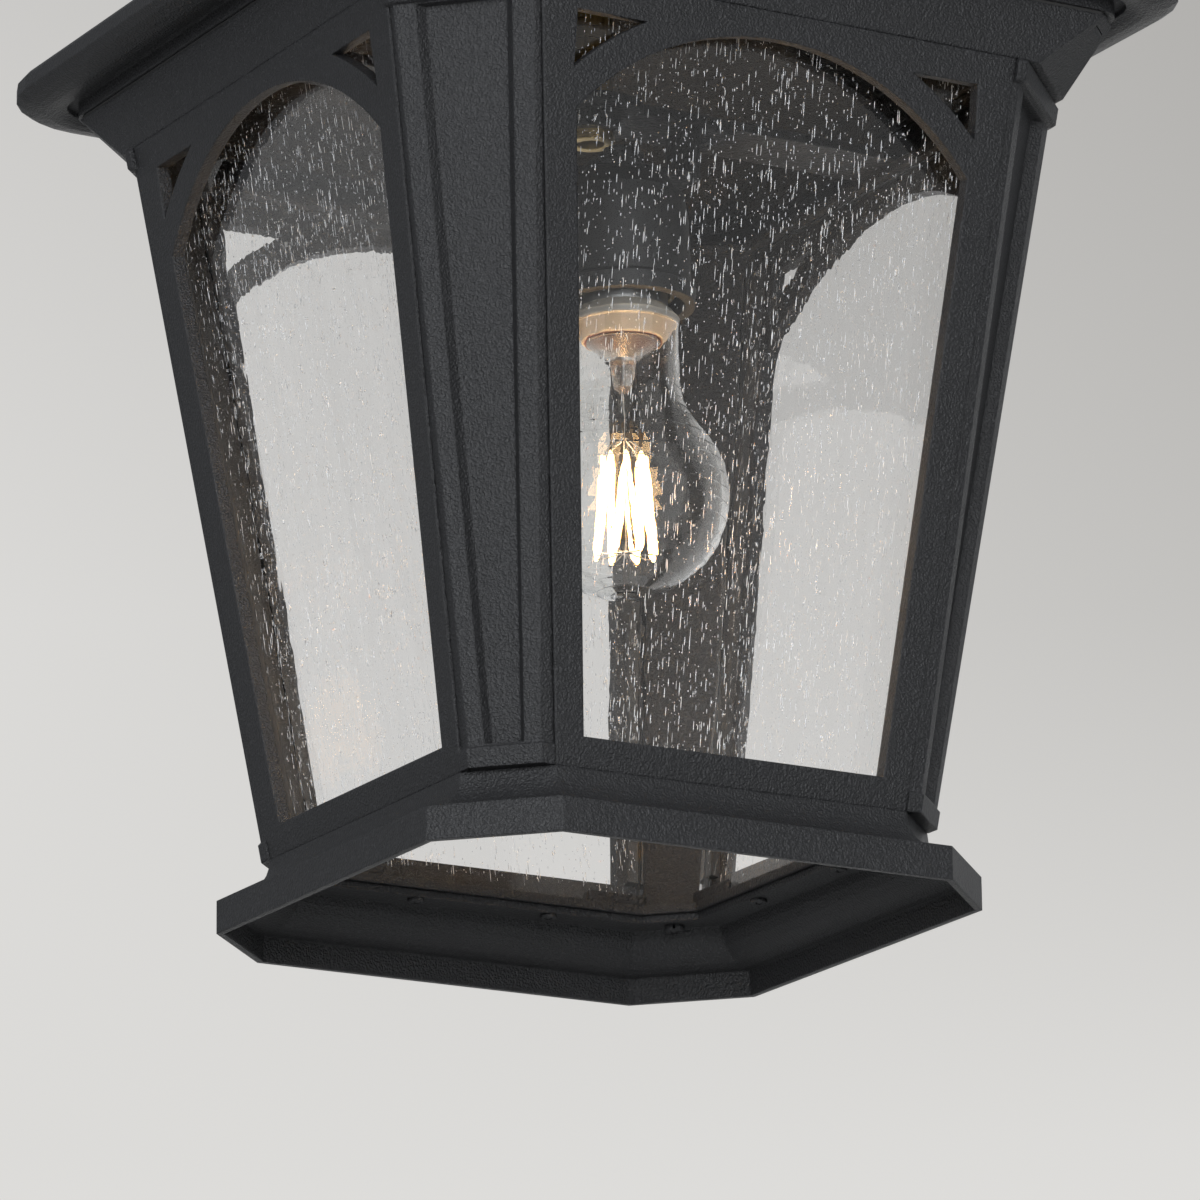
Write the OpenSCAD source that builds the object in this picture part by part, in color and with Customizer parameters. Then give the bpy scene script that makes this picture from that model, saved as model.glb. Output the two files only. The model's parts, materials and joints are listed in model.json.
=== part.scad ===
// Hanging lantern: four leaning arched windows, open foot, clear lamp, short chain and ceiling canopy.
// Millimetres. The origin is the middle of the ceiling fixing and the lantern hangs below it.

/* [Cage] */
// Half width of the cage at its foot, to the face of the window frames
cage_foot_half = 75; // [68:0.5:90]
// Half width of the cage at its head, to the face of the window frames
cage_head_half = 109; // [104:0.5:128]
// Half width of one face at the foot, to the seam with the post
seam_foot_half = 56.1; // [52:0.1:58]
// Half width of one face at the head, to the seam with the post
seam_head_half = 77.5; // [74:0.1:80]
// Height of the leaning faces, from foot to head
cage_height = 215; // [180:1:260]
// Thickness of the cast window frames
frame_thick = 4; // [3:0.1:5]

/* [Windows] */
// Half width of the window at its sill
sill_half = 48; // [44:0.1:49]
// Half width of the window where the arch springs
spring_half = 63.5; // [60:0.1:65]
// Height of the sill above the foot of the cage
sill_rise = 8.6; // [6:0.1:12]
// Distance from the head of the cage down to the top of the arch
arch_drop = 7.6; // [6:0.1:10]
// Rise of the arch above its springing
arch_rise = 29; // [24:0.5:34]
// Width of the arch band between the window and the spandrel holes
arch_band = 8.8; // [7:0.1:10]
// Outer edge of a spandrel hole, from the middle of the face
spandrel_half = 65.2; // [64:0.1:68]
// Distance from the head of the cage down to the top of the spandrel holes
spandrel_drop = 9.4; // [8:0.1:11]

/* [Glass] */
// Thickness of a pane
glass_thick = 3.4; // [3:0.1:4]
// Space between a window frame and its pane, filled by the pads
glass_gap = 2.8; // [2:0.1:3.5]
// Half width of a pane at its foot
pane_foot_half = 53.2; // [50:0.1:54]
// Half width of a pane at its head
pane_head_half = 76; // [70:0.1:77]

/* [Posts] */
// How far the window frames stand proud of the post flanks
flank_step = 0.6; // [0.4:0.1:1.2]
// Half width from the middle of a face to the post's corner, at the foot
corner_foot_half = 60.5; // [59:0.1:62]
// Half width from the middle of a face to the post's corner, at the head
corner_head_half = 79.8; // [79:0.1:83]
// Flat strip beside the sunk panel at the foot
strip_foot = 4.4; // [3:0.1:5]
// Flat strip beside the sunk panel at the head
strip_head = 6; // [5:0.1:8]
// Depth of the sunk panel
panel_depth = 3.2; // [1:0.1:4]
// Height of the base blocks
base_block_height = 5.8; // [4:0.1:8]
// Height of the cap blocks
cap_block_height = 6.4; // [4:0.1:8]
// How far the base blocks stand proud of the post
base_block_proud = 0.9; // [0.5:0.1:1.5]
// How far the cap blocks stand proud of the post
cap_block_proud = 2; // [1:0.1:2.5]

/* [Base ring] */
// Half width of the base ring
base_half = 89; // [86:0.5:108]
// Height of the upright fascia
fascia_height = 9.6; // [8:0.1:14]
// Ledge at the top of the fascia
fascia_ledge = 1.4; // [1:0.1:3]
// Height of the hollow sweep
cove_height = 12.3; // [12:0.1:16]
// Wall of the base ring
base_wall = 2; // [1.5:0.1:2.5]
// Thickness of the glazing ledge
ledge_thick = 2.8; // [2:0.1:3.5]
// Half width of the opening in the glazing ledge
mouth_half = 62.7; // [56:0.1:64]

/* [Roof] */
// Half width of the eave
eave_half = 131.4; // [126:0.5:150]
// Height of the upright band at the eave
eave_band = 3.9; // [3:0.1:6]
// Height of the frieze under the eave
frieze_height = 16.6; // [12:0.1:22]
// Half width of the frieze at its head
frieze_head_half = 112.6; // [110:0.1:118]
// Half length of the frieze's long side at its head
frieze_head_side = 105.7; // [100:0.1:108]
// Rise of the roof slope
roof_rise = 52; // [40:1:80]
// Wall of the roof
roof_wall = 2; // [1.5:0.1:2.5]
// Radius of the roof's neck
neck_radius = 24; // [20:0.5:30]
// Height of the vented neck
neck_height = 22; // [18:0.5:40]
// Radius of the crown cap
crown_radius = 38; // [34:0.5:46]

/* [Lamp] */
// Radius of the lamp's bulb
lamp_radius = 30; // [26:0.5:32]
// Height of the middle of the bulb above the underside of the base ring
lamp_height = 124.8; // [110:0.1:140]
// Offset of the lampholder to the right
lamp_x = 7.5; // [0:0.1:10]
// Offset of the lampholder to the back
lamp_y = -4.3; // [-8:0.1:8]

/* [Chain and canopy] */
// Radius of the chain wire
wire_radius = 2.2; // [1.8:0.1:2.6]
// Bend radius of a link, to the middle of the wire
link_bend = 9; // [8:0.1:11]
// Straight length of a link
link_straight = 16; // [12:1:30]
// Radius of the canopy
canopy_radius = 60; // [55:1:80]
// Depth of the canopy
canopy_depth = 26; // [20:1:35]

/* [Fits] */
// Clearance between pieces that are seated on each other
seat = 0.3; // [0.2:0.05:0.4]
// Clearance at the side of a frame in its rebate
side_gap = 0.15; // [0.1:0.05:0.3]

/* [Hidden] */
LINKS = 4;
$fn = 48;

// Flat faces that bear on each other stay this far apart
touch = 0.05;

// Heights in the lantern's own frame, from the underside of the base ring
foot_z = fascia_height + cove_height;
head_z = foot_z + cage_height;
lean_slope = (cage_head_half - cage_foot_half) / cage_height;
lean = atan(lean_slope);
seam_slope = (seam_head_half - seam_foot_half) / cage_height;
pane_slope = (pane_head_half - pane_foot_half) / cage_height;
corner_slope = (corner_head_half - corner_foot_half) / cage_height;
frame_depth = frame_thick / cos(lean);
pane_depth = glass_thick / cos(lean);
gap_depth = glass_gap / cos(lean);

// Base ring and ledge
miter = tan(22.5);
step_drop = 1;
flange_thick = 2.3;
flange_in = 11;
ledge_z = foot_z - step_drop;
flange_low = ledge_z - flange_thick;
ledge_top = ledge_z + ledge_thick;
rebate_half = cage_foot_half - frame_depth + 0.2;
ledge_half = cage_foot_half - frame_depth - side_gap;
ledge_corner = pane_in(foot_z) + pane_foot_half + seat - 0.7;
cove_steps = 8;

// Window and pad layout on the slope
face_length = cage_height / cos(lean);
sill_y = sill_rise / cos(lean);
arch_top = (cage_height - arch_drop) / cos(lean);
arch_spring = arch_top - arch_rise / cos(lean);
arch_tall = arch_top - arch_spring;
arch_radius = (pow(spring_half, 2) + pow(arch_tall, 2)) / (2 * arch_tall);
arch_centre = arch_top - arch_radius;
spandrel_y = (cage_height - spandrel_drop) / cos(lean);
pane_top_drop = 1.4;
pad_margin = 9;
pad_edge = 0.4;
pad_width = 3.4;
stop_length = 19;
stop_width = 1.5;
stop_height = 3;
stop_out = 43.5;
stop_in = pane_in(ledge_top) - seat - stop_width / 2;
ledge_screw_out = 22;
ledge_screw_half = pane_in(ledge_top) + pane_depth / 2;
small_screw_r = 1.4;
small_head_r = 2.5;
small_head = 1.4;

// Post and frieze details
panel_slope_foot = 1.8;
panel_slope_head = 2.5;
rebate_lap = 3;
block_bevel = 0.7;
block_run = 0.25;
frieze_step = 0.4;
frieze_corner = 5.7;
frieze_lip = 6;
eave_roll = 4;
roof_shoulder = 2.6;
neck_collar = 2;
neck_wall = 2;
crown_skirt = 5;
crown_band = 1.5;
crown_wall = 2.5;
vents = 8;
vent_width = 7;
vent_low = 5;
vent_margin = 5;
bar_screw_in = 3.2;

// Head of the cage
frieze_z = head_z + seat;
frieze_top = frieze_z + frieze_height;
frieze_wall = 2.6;
frieze_flange = 2.6;
frieze_in = 10.6;
bar_z = frieze_z + frieze_flange;
gasket_thick = 1.1;
gasket_inset = 0.6;
roof_seat_z = frieze_top + gasket_thick + 2 * touch;
eave_low = frieze_top + 3.2;
eave_crease = eave_low + 3;
eave_top = eave_crease + eave_band;
groove_in = frieze_head_half + 0.4;
groove_out = groove_in + 3.4;
groove_top = roof_seat_z + 4.6;
eave_corner = 9;
bull_low = eave_half - 9;
neck_z = eave_top + roof_shoulder + roof_rise;
neck_top = neck_z + neck_height;
crown_rise = 24;
crown_top = neck_top + crown_rise;

// Screws and bores
screw_r = 1.75;
screw_head_r = 3;
screw_head = 2.2;
screw_length = 8;
screw_gap = 0.15;
foot_screw_in = 4.2;
head_screw_in = 2.5;
foot_screw_at = (pane_in(foot_z) + pane_half(foot_z) + seat) / 2 + foot_screw_in / sqrt(2);
head_screw_at = (pane_in(head_z) + pane_half(head_z) + seat) / 2 + head_screw_in / sqrt(2);

// Crossbar, hanger tube and loops
bar_width = 22;
bar_thick = 3;
bar_disc_r = 0.75 * bar_width;
bar_half = frieze_inner_half() - 1.2;
bar_top = bar_z + bar_thick;
tube_r = 6.5;
tube_bore = 4;
tube_gap = 0.2;
nut_thick = 5;
nut_r = 10;
boss_r = 11;
boss_height = 16;
loop_bend = 12;
loop_wire = 3;
tube_low = bar_z - nut_thick - 3;
tube_depth = 8;
tube_top = crown_top + tube_depth;
loop_z = crown_top + boss_height + loop_bend + 1;
loop_crown_z = loop_z + loop_bend;

// Canopy, chain and where the lantern hangs
bracket_thick = 2;
canopy_wall = 1.5;
canopy_loop_z = -canopy_depth - boss_height - loop_bend - 1;
canopy_hook_z = canopy_loop_z - loop_bend;
link_gap = 0.3;
hook_step = wire_radius + loop_wire + link_gap;
link_step = 2 * wire_radius + link_gap;
link_span = link_straight + 2 * link_bend;
link_pitch = link_span - link_step;
first_link_top = canopy_hook_z + hook_step;
last_link_low = first_link_top - link_span - (LINKS - 1) * link_pitch;
lantern_z = last_link_low + hook_step - loop_crown_z;

// Lamp and holder, heights in the lantern's own frame
neck_r = 16.3;
collar_z = lamp_height + 51;
collar_height = 5;
cap_r = 13.2;
cap_height = 24;
holder_wall = 2.2;
holder_r = 20;
holder_low = collar_z + collar_height + 1.2;
holder_top = holder_low + 40;
glass_wall = 1;
nipple_r = 5;
saddle_thick = 2;
saddle_z = holder_top + 0.1;
nipple_top = saddle_z + saddle_thick + 6;

// Small pieces round the lampholder and the lamp
saddle_width = 16;
saddle_back = 12;
saddle_web = lamp_x + 22;
saddle_end = 5;
saddle_screw_x = saddle_web + 6;
holder_roof = 3;
nipple_bore = 3.5;
shell_r = 14.8;
shell_gap = 0.6;
insulator_height = 4;
tip_z = collar_z + collar_height + cap_height + insulator_height + 2 * touch;
tip_height = 1.6;
contact_z = tip_z + tip_height + touch;
cone_r = 12;
cone_drop = 4.6;
stem_low = lamp_height + 30.8;
filaments = 4;
filament_low = lamp_height - 18;
filament_high = lamp_height + 12.5;
filament_out = 8;
filament_in = 6;
wire_thin = 0.4;
way_z = 12;
bush_r = 3.2;
bush_bore = 2.2;
block_at = 46;
block_length = 26;
block_width = 16;
block_height = 13;
block_pitch = 8;
earth_at = 74;
earth_r = 4;
earth_height = 3;
terminal_r = 1.6;
contact_r = 5;
contact_height = 0.8;
nipple_nut_thick = 3.5;
filament_r = 0.9;
filament_turn = 20;

// Ceiling bracket
bracket_half = 50;
bracket_width = 24;
bracket_web = 22;
bracket_drop = 7;
bracket_earth_x = 14;
fixing_spacing = 72;
fixing_slot_length = 16;
fixing_slot_r = 2.6;

// Half width and half side of the frames' plane, the seam and a pane at a height
function cage_half(z) = cage_foot_half + (z - foot_z) * lean_slope;
function seam_half(z) = seam_foot_half + (z - foot_z) * seam_slope;
function pane_half(z) = pane_foot_half + (z - foot_z) * pane_slope;
function corner_half(z) = corner_foot_half + (z - foot_z) * corner_slope;
function pane_in(z) = cage_half(z) - frame_depth - gap_depth - pane_depth;
function frieze_inner_half() = cage_head_half - frieze_step - frieze_wall;
function mix(a, b, t) = a + (b - a) * t;

// Eight plan points of a square with cut corners: half width h, half side q
function oct(h, q, z) = [
    [-q, -h, z], [q, -h, z], [h, -q, z], [h, q, z],
    [q, h, z], [-q, h, z], [-h, q, z], [-h, -q, z]
];
// The same, offset parallel from the cage's foot
function oct_ring(h, z) = oct(h, seam_foot_half + (h - cage_foot_half) * miter, z);
// Plan points of a square with round corners
function round_square(h, r, z, steps = 6) = [
    for (k = [0:3])
        for (i = [0:steps])
            let (a = -90 + 90 * k + 90 * i / steps)
            let (sx = (k == 0 || k == 1) ? 1 : -1)
            let (sy = (k == 1 || k == 2) ? 1 : -1)
            [sx * (h - r) + r * cos(a), sy * (h - r) + r * sin(a), z]
];

// Flatten a list of sections into points
function flat(sections) = [for (s = sections) for (p = s) p];

// A ring: sections go up the outside, over the top and down the inside
module ring_loft(sections) {
    n = len(sections);
    m = len(sections[0]);
    faces = [
        for (i = [0:n - 1])
            for (j = [0:m - 1])
                let (a = i * m + j)
                let (b = ((i + 1) % n) * m + j)
                let (c = ((i + 1) % n) * m + (j + 1) % m)
                let (d = i * m + (j + 1) % m)
                for (f = [[a, b, c], [a, c, d]]) f
    ];
    polyhedron(points = flat(sections), faces = faces, convexity = 6);
}

// A solid: sections from the lowest to the highest, closed by flat ends
module solid_loft(sections) {
    n = len(sections);
    m = len(sections[0]);
    sides = [
        for (i = [0:n - 2])
            for (j = [0:m - 1])
                let (a = i * m + j)
                let (b = a + m)
                let (c = (i + 1) * m + (j + 1) % m)
                let (d = i * m + (j + 1) % m)
                for (f = [[a, b, c], [a, c, d]]) f
    ];
    low = [for (j = [0:m - 1]) j];
    high = [for (j = [m - 1:-1:0]) (n - 1) * m + j];
    polyhedron(points = flat(sections), faces = concat([low], [high], sides), convexity = 6);
}

// Put something drawn flat onto a leaning face: x across, y up the slope, z outward
module on_face(i) {
    rotate([0, 0, 90 * i])
        translate([0, -cage_foot_half, foot_z])
            rotate([90 + lean, 0, 0])
                children();
}

// Hang the lantern's own frame from the chain
module hung() {
    translate([0, 0, lantern_z])
        children();
}

// The four places of something that repeats at the corners
module at_corners(r) {
    for (k = [0:3])
        rotate([0, 0, 90 * k])
            translate([r, r, 0])
                children();
}

// A cheese-head screw that points up from its head
module screw_up(length) {
    cylinder(r = screw_head_r, h = screw_head, $fn = 24);
    translate([0, 0, screw_head])
        cylinder(r = screw_r, h = length, $fn = 24);
}

// Base ring: fascia, hollow sweep and the flange that carries the cage
module base_ring() {
    cove_out = base_half - fascia_ledge;
    cove_in = cage_foot_half;
    inner_steps = 6;
    flange_angle = acos((foot_z - flange_low) / (cove_height + base_wall));
    outer = [
        for (i = [0:cove_steps])
            let (a = 90 * i / cove_steps)
            oct_ring(cove_out - (cove_out - cove_in) * sin(a), foot_z - cove_height * cos(a))
    ];
    inner = [
        for (i = [inner_steps:-1:1])
            let (a = flange_angle * i / inner_steps)
            oct_ring(cove_out - (cove_out - cove_in + base_wall) * sin(a),
                foot_z - (cove_height + base_wall) * cos(a))
    ];
    sections = concat(
        [oct_ring(base_half, 0), oct_ring(base_half, fascia_height)],
        outer,
        [oct_ring(rebate_half, foot_z), oct_ring(rebate_half, ledge_z)],
        [oct_ring(cage_foot_half - flange_in, ledge_z), oct_ring(cage_foot_half - flange_in, flange_low)],
        inner,
        [oct_ring(base_half - base_wall, foot_z - cove_height - base_wall),
            oct_ring(base_half - base_wall, 0)]
    );
    color("#262628")
        hung()
            difference() {
                ring_loft(sections);
                at_corners(foot_screw_at)
                    translate([0, 0, flange_low - 1])
                        cylinder(r = screw_r + screw_gap, h = flange_thick + 3, $fn = 24);
                at_ledge_screws()
                    translate([0, 0, flange_low - 1])
                        cylinder(r = small_screw_r + screw_gap, h = flange_thick + 2, $fn = 24);
            }
}

// A flat octagon with cut corners
module oct_plate(h, q, thick) {
    linear_extrude(thick)
        polygon([for (v = oct(h, q, 0)) [v.x, v.y]]);
}

// Ledge round the open foot that carries the panes
module glazing_ledge() {
    mouth_side = seam_foot_half + (mouth_half - cage_foot_half) * miter;
    color("#242425")
        hung()
            translate([0, 0, ledge_z + touch])
                difference() {
                    oct_plate(ledge_half, ledge_corner - ledge_half, ledge_thick - touch);
                    translate([0, 0, -1])
                        oct_plate(mouth_half, mouth_side, ledge_thick + 2);
                    at_ledge_screws()
                        translate([0, 0, -1])
                            cylinder(r = small_screw_r + screw_gap, h = ledge_thick + 2, $fn = 24);
                }
}

module at_ledge_screws() {
    for (k = [0:3])
        for (side = [-1, 1])
            rotate([0, 0, 90 * k])
                translate([side * ledge_screw_out, -ledge_screw_half, 0])
                    children();
}

// Small screws that hold the ledge down on the flange
module ledge_screws() {
    color("#1c1c1e")
        hung()
            at_ledge_screws()
                translate([0, 0, flange_low - small_head - touch]) {
                    cylinder(r = small_head_r, h = small_head, $fn = 24);
                    translate([0, 0, small_head])
                        cylinder(r = small_screw_r, h = flange_thick + ledge_thick, $fn = 24);
                }
}

// Stops that keep the panes from sliding inward over the ledge
module glass_stops() {
    color("#161617")
        hung()
            for (k = [0:3])
                for (side = [-1, 1])
                    rotate([0, 0, 90 * k])
                        translate([side * stop_out, -stop_in, ledge_top + touch])
                            translate([-stop_length / 2, -stop_width / 2, 0])
                                cube([stop_length, stop_width, stop_height]);
}

// Plan section of a post in the quadrant where both coordinates are positive, widened by proud
function post_section(z, proud = 0) =
    let (h = cage_half(z))
    let (p = h - flank_step + proud)
    let (q = corner_half(z) + proud * miter)
    let (s = seam_half(z) + side_gap)
    let (f = h - frame_depth - side_gap)
    let (lap = s - rebate_lap)
    let (g = h - frame_depth - gap_depth + side_gap)
    let (e = pane_half(z) + seat)
    let (n = pane_in(z))
    [
        [p, q, z], [q, p, z], [s, p, z], [s, f, z], [lap, f, z], [lap, g, z], [e, g, z], [e, n, z],
        [n, e, z], [g, e, z], [g, lap, z], [f, lap, z], [f, s, z], [p, s, z]
    ];

// Plan section of the sunk panel, which reaches out past the post's corner face
function panel_section(z) =
    let (p = cage_half(z) - flank_step)
    let (q = corner_half(z))
    let (t = (z - foot_z) / cage_height)
    let (w = (p - q) * sqrt(2))
    let (strip = mix(strip_foot, strip_head, t))
    let (slope = mix(panel_slope_foot, panel_slope_head, t))
    let (out = strip - slope / panel_depth)
    [
        chamfer_point(p, q, out, -1, z), chamfer_point(p, q, w - out, -1, z),
        chamfer_point(p, q, w - strip - slope, panel_depth, z),
        chamfer_point(p, q, strip + slope, panel_depth, z)
    ];
function chamfer_point(p, q, along, deep, z) =
    [p - (along + deep) / sqrt(2), q + (along - deep) / sqrt(2), z];

// Corner post with its sunk panel, base block and cap block
module corner_post(k) {
    low = foot_z + touch;
    high = head_z - touch;
    base_top = low + base_block_height;
    cap_low = high - cap_block_height;
    color("#29292b")
        hung()
            rotate([0, 0, 90 * k + 180])
                difference() {
                    solid_loft([
                        post_section(low, base_block_proud),
                        post_section(base_top - block_bevel, base_block_proud),
                        post_section(base_top, base_block_proud - block_bevel),
                        post_section(base_top + block_run),
                        post_section(cap_low - block_run),
                        post_section(cap_low, cap_block_proud - block_bevel),
                        post_section(cap_low + block_bevel, cap_block_proud),
                        post_section(high - block_bevel, cap_block_proud),
                        post_section(high, cap_block_proud - block_bevel)
                    ]);
                    solid_loft([panel_section(base_top + 2 * block_run),
                        panel_section(cap_low - 2 * block_run)]);
                    translate([foot_screw_at, foot_screw_at, low - 1])
                        cylinder(r = screw_r + screw_gap, h = screw_length, $fn = 24);
                    translate([head_screw_at, head_screw_at, high + 1 - screw_length])
                        cylinder(r = screw_r + screw_gap, h = screw_length, $fn = 24);
                }
}
module post_front_left() { corner_post(0); }
module post_front_right() { corner_post(1); }
module post_back_right() { corner_post(2); }
module post_back_left() { corner_post(3); }

// Screws from under the base ring into the posts
module foot_screws() {
    color("#1c1c1e")
        hung()
            at_corners(foot_screw_at)
                translate([0, 0, flange_low - touch - screw_head])
                    screw_up(screw_length - 1);
}

// Screws from the frieze's flange down into the posts
module head_screws() {
    color("#1c1c1e")
        hung()
            at_corners(head_screw_at)
                translate([0, 0, bar_z + touch + screw_head])
                    mirror([0, 0, 1])
                        screw_up(screw_length - 1);
}

// Points along a circle round the arch's centre, from right to left, out to x = half
function arch_points(r, half, steps) =
    let (end = asin(half / r))
    [for (i = [0:steps]) let (a = end * (1 - 2 * i / steps)) [r * sin(a), arch_centre + r * cos(a)]];

// Outline of the arched opening on the leaning face
module arch_opening() {
    polygon(concat([[-sill_half, sill_y], [sill_half, sill_y]], arch_points(arch_radius, spring_half, 24)));
}

// Spandrel hole: its lower side runs along the arch
module spandrel_hole() {
    r = arch_radius + arch_band;
    from = asin(spandrel_half / r);
    to = acos((spandrel_y - arch_centre) / r);
    polygon(concat(
        [[spandrel_half, spandrel_y]],
        [for (i = [0:8]) let (a = mix(to, from, i / 8)) [r * sin(a), arch_centre + r * cos(a)]]
    ));
}

// Cast window frame: arched opening and two spandrel holes
module window_frame(i) {
    seam_foot = seam_foot_half - side_gap;
    seam_head = seam_head_half - side_gap;
    over = 3;
    grow = over * seam_slope;
    slab = cage_height - 2 * touch;
    color("#2b2b2d")
        hung()
            intersection() {
                on_face(i)
                    translate([0, 0, -frame_thick])
                        linear_extrude(frame_thick)
                            difference() {
                                polygon([
                                    [-seam_foot + grow, -over], [seam_foot - grow, -over],
                                    [seam_head + grow, face_length + over],
                                    [-seam_head - grow, face_length + over]
                                ]);
                                arch_opening();
                                for (side = [0, 1])
                                    mirror([side, 0])
                                        spandrel_hole();
                            }
                translate([-eave_half, -eave_half, foot_z + touch])
                    cube([2 * eave_half, 2 * eave_half, slab]);
            }
}
module window_frame_front() { window_frame(0); }
module window_frame_right() { window_frame(1); }
module window_frame_back() { window_frame(2); }
module window_frame_left() { window_frame(3); }

// Seeded glass pane behind a frame
module pane(i) {
    over = 6;
    grow = over * pane_slope;
    color("#cfd8d6", 0.35)
        hung()
            intersection() {
                on_face(i)
                    translate([0, 0, -frame_thick - glass_gap - glass_thick])
                        linear_extrude(glass_thick)
                            polygon([
                                [-pane_foot_half + grow, -over], [pane_foot_half - grow, -over],
                                [pane_head_half + grow, face_length + over],
                                [-pane_head_half - grow, face_length + over]
                            ]);
                translate([-eave_half, -eave_half, ledge_top + touch])
                    cube([2 * eave_half, 2 * eave_half, head_z - pane_top_drop - ledge_top]);
            }
}
module pane_front() { pane(0); }
module pane_right() { pane(1); }
module pane_back() { pane(2); }
module pane_left() { pane(3); }

// Strips between the frames and the panes
module glazing_pads() {
    low = pad_margin;
    high = face_length - pad_margin;
    foot_out = seam_half(foot_z + low * cos(lean)) - rebate_lap - pad_edge;
    head_out = seam_half(foot_z + high * cos(lean)) - rebate_lap - pad_edge;
    color("#1b1a19")
        hung()
            for (i = [0:3])
                for (side = [0, 1])
                    on_face(i)
                        mirror([side, 0, 0])
                            translate([0, 0, touch - frame_thick - glass_gap])
                                linear_extrude(glass_gap - 2 * touch)
                                    polygon([
                                        [foot_out - pad_width, low], [foot_out, low],
                                        [head_out, high], [head_out - pad_width, high]
                                    ]);
}

// Frieze ring: an octagon at its foot that turns nearly square at its head
module frieze_ring() {
    low_half = cage_head_half - frieze_step;
    low_side = corner_head_half + frieze_corner;
    wall_side = frieze_wall * miter;
    color("#2a2a2c")
        hung()
            difference() {
                ring_loft([
                    oct(low_half, low_side, frieze_z),
                    oct(frieze_head_half, frieze_head_side, frieze_top),
                    oct(frieze_head_half - frieze_lip, frieze_head_side - frieze_lip, frieze_top),
                    oct(frieze_head_half - frieze_lip, frieze_head_side - frieze_lip,
                        frieze_top - frieze_flange),
                    oct(frieze_head_half - frieze_wall, frieze_head_side - wall_side,
                        frieze_top - frieze_flange),
                    oct(low_half - frieze_wall, low_side - wall_side, bar_z),
                    oct(low_half - frieze_in, low_side - frieze_in, bar_z),
                    oct(low_half - frieze_in, low_side - frieze_in, frieze_z)
                ]);
                at_corners(head_screw_at)
                    translate([0, 0, frieze_z - 1])
                        cylinder(r = screw_r + screw_gap, h = frieze_flange + 2, $fn = 24);
                at_bar_ends()
                    translate([0, 0, frieze_z - 1])
                        cylinder(r = screw_r + screw_gap, h = frieze_flange + 2, $fn = 24);
            }
}

module at_bar_ends() {
    for (side = [-1, 1])
        translate([side * (bar_half - bar_screw_in), 0, 0])
            children();
}

// Gasket between the frieze and the roof
module roof_gasket() {
    color("#161616")
        hung()
            translate([0, 0, frieze_top + touch])
                difference() {
                    oct_plate(frieze_head_half - gasket_inset, frieze_head_side - gasket_inset,
                        gasket_thick);
                    translate([0, 0, -1])
                        oct_plate(frieze_head_half - frieze_lip + gasket_inset,
                            frieze_head_side - frieze_lip + gasket_inset,
                            gasket_thick + 2);
                }
}

// Point of the roof's slope, from the eave to the neck
function slope_half(t) = mix(eave_half - eave_roll, neck_radius + 3, t);
function slope_z(t) = eave_top + roof_shoulder + roof_rise * pow(t, 1.7);
function roof_corner(h) =
    min(h, mix(neck_radius, eave_corner + eave_half - groove_in,
        (h - neck_radius) / (eave_half - neck_radius)));
function under_corner(h) = eave_corner + h - groove_in;
function roof_section(h, z) = round_square(h, roof_corner(h), z);
function under_section(h, z) = round_square(h, under_corner(h), z);

// Roof: soffit groove, thick rounded eave and hollow-curved slope
module roof_shell() {
    steps = 9;
    drop = roof_wall * 1.25;
    seat_in = frieze_head_half - frieze_lip - 1;
    inner_from = (eave_half - eave_roll - seat_in - 1) / (eave_half - eave_roll - neck_radius - 3);
    sections = concat(
        [
            under_section(seat_in, roof_seat_z), under_section(groove_in, roof_seat_z),
            under_section(groove_in, groove_top), under_section(groove_out, groove_top),
            under_section(groove_out, eave_low + 1.2), under_section(bull_low - 2.6, eave_low + 0.3),
            under_section(bull_low, eave_low), under_section(bull_low + 3, eave_low + 0.4),
            under_section(eave_half - 2.6, eave_low + 1.3), under_section(eave_half, eave_crease),
            roof_section(eave_half, eave_top), roof_section(eave_half - 1, eave_top + 1.4)
        ],
        [for (i = [0:steps]) roof_section(slope_half(i / steps), slope_z(i / steps))],
        [roof_section(neck_radius - 5, neck_z), roof_section(neck_radius - 5, neck_z - drop)],
        [
            for (i = [steps:-1:0])
                let (t = mix(inner_from, 0.97, i / steps))
                roof_section(slope_half(t) - 1, slope_z(t) - drop)
        ]
    );
    color("#2a2a2c")
        hung()
            ring_loft(sections);
}

// Neck with vent slots under the crown cap
module vented_neck() {
    color("#29292b")
        hung()
            translate([0, 0, neck_z + touch])
                difference() {
                    union() {
                        cylinder(r = neck_radius, h = neck_height - 2 * touch);
                        cylinder(r = neck_radius + neck_collar, h = neck_collar);
                    }
                    translate([0, 0, -1])
                        cylinder(r = neck_radius - neck_wall, h = neck_height + 2);
                    for (k = [0:vents - 1])
                        rotate([0, 0, 360 * (k + 0.5) / vents])
                            translate([neck_radius - 4, -vent_width / 2, vent_low])
                                cube([8, vent_width, neck_height - vent_low - vent_margin]);
                }
}

// Crown cap that keeps the rain out of the neck
module crown_cap() {
    steps = 8;
    top_r = boss_r + 2;
    color("#2a2a2c")
        hung()
            translate([0, 0, neck_top])
                rotate_extrude($fn = 64)
                    polygon(concat(
                        [[tube_r + tube_gap, 0], [crown_radius - crown_wall, 0],
                            [crown_radius - crown_wall, -crown_skirt]],
                        [[crown_radius, -crown_skirt], [crown_radius, crown_band]],
                        [
                            for (i = [1:steps])
                                let (t = i / steps)
                                [mix(crown_radius, top_r, t),
                                    crown_band + (crown_rise - crown_band) * pow(t, 1.5)]
                        ],
                        [[tube_r + tube_gap, crown_rise]]
                    ));
}

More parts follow.
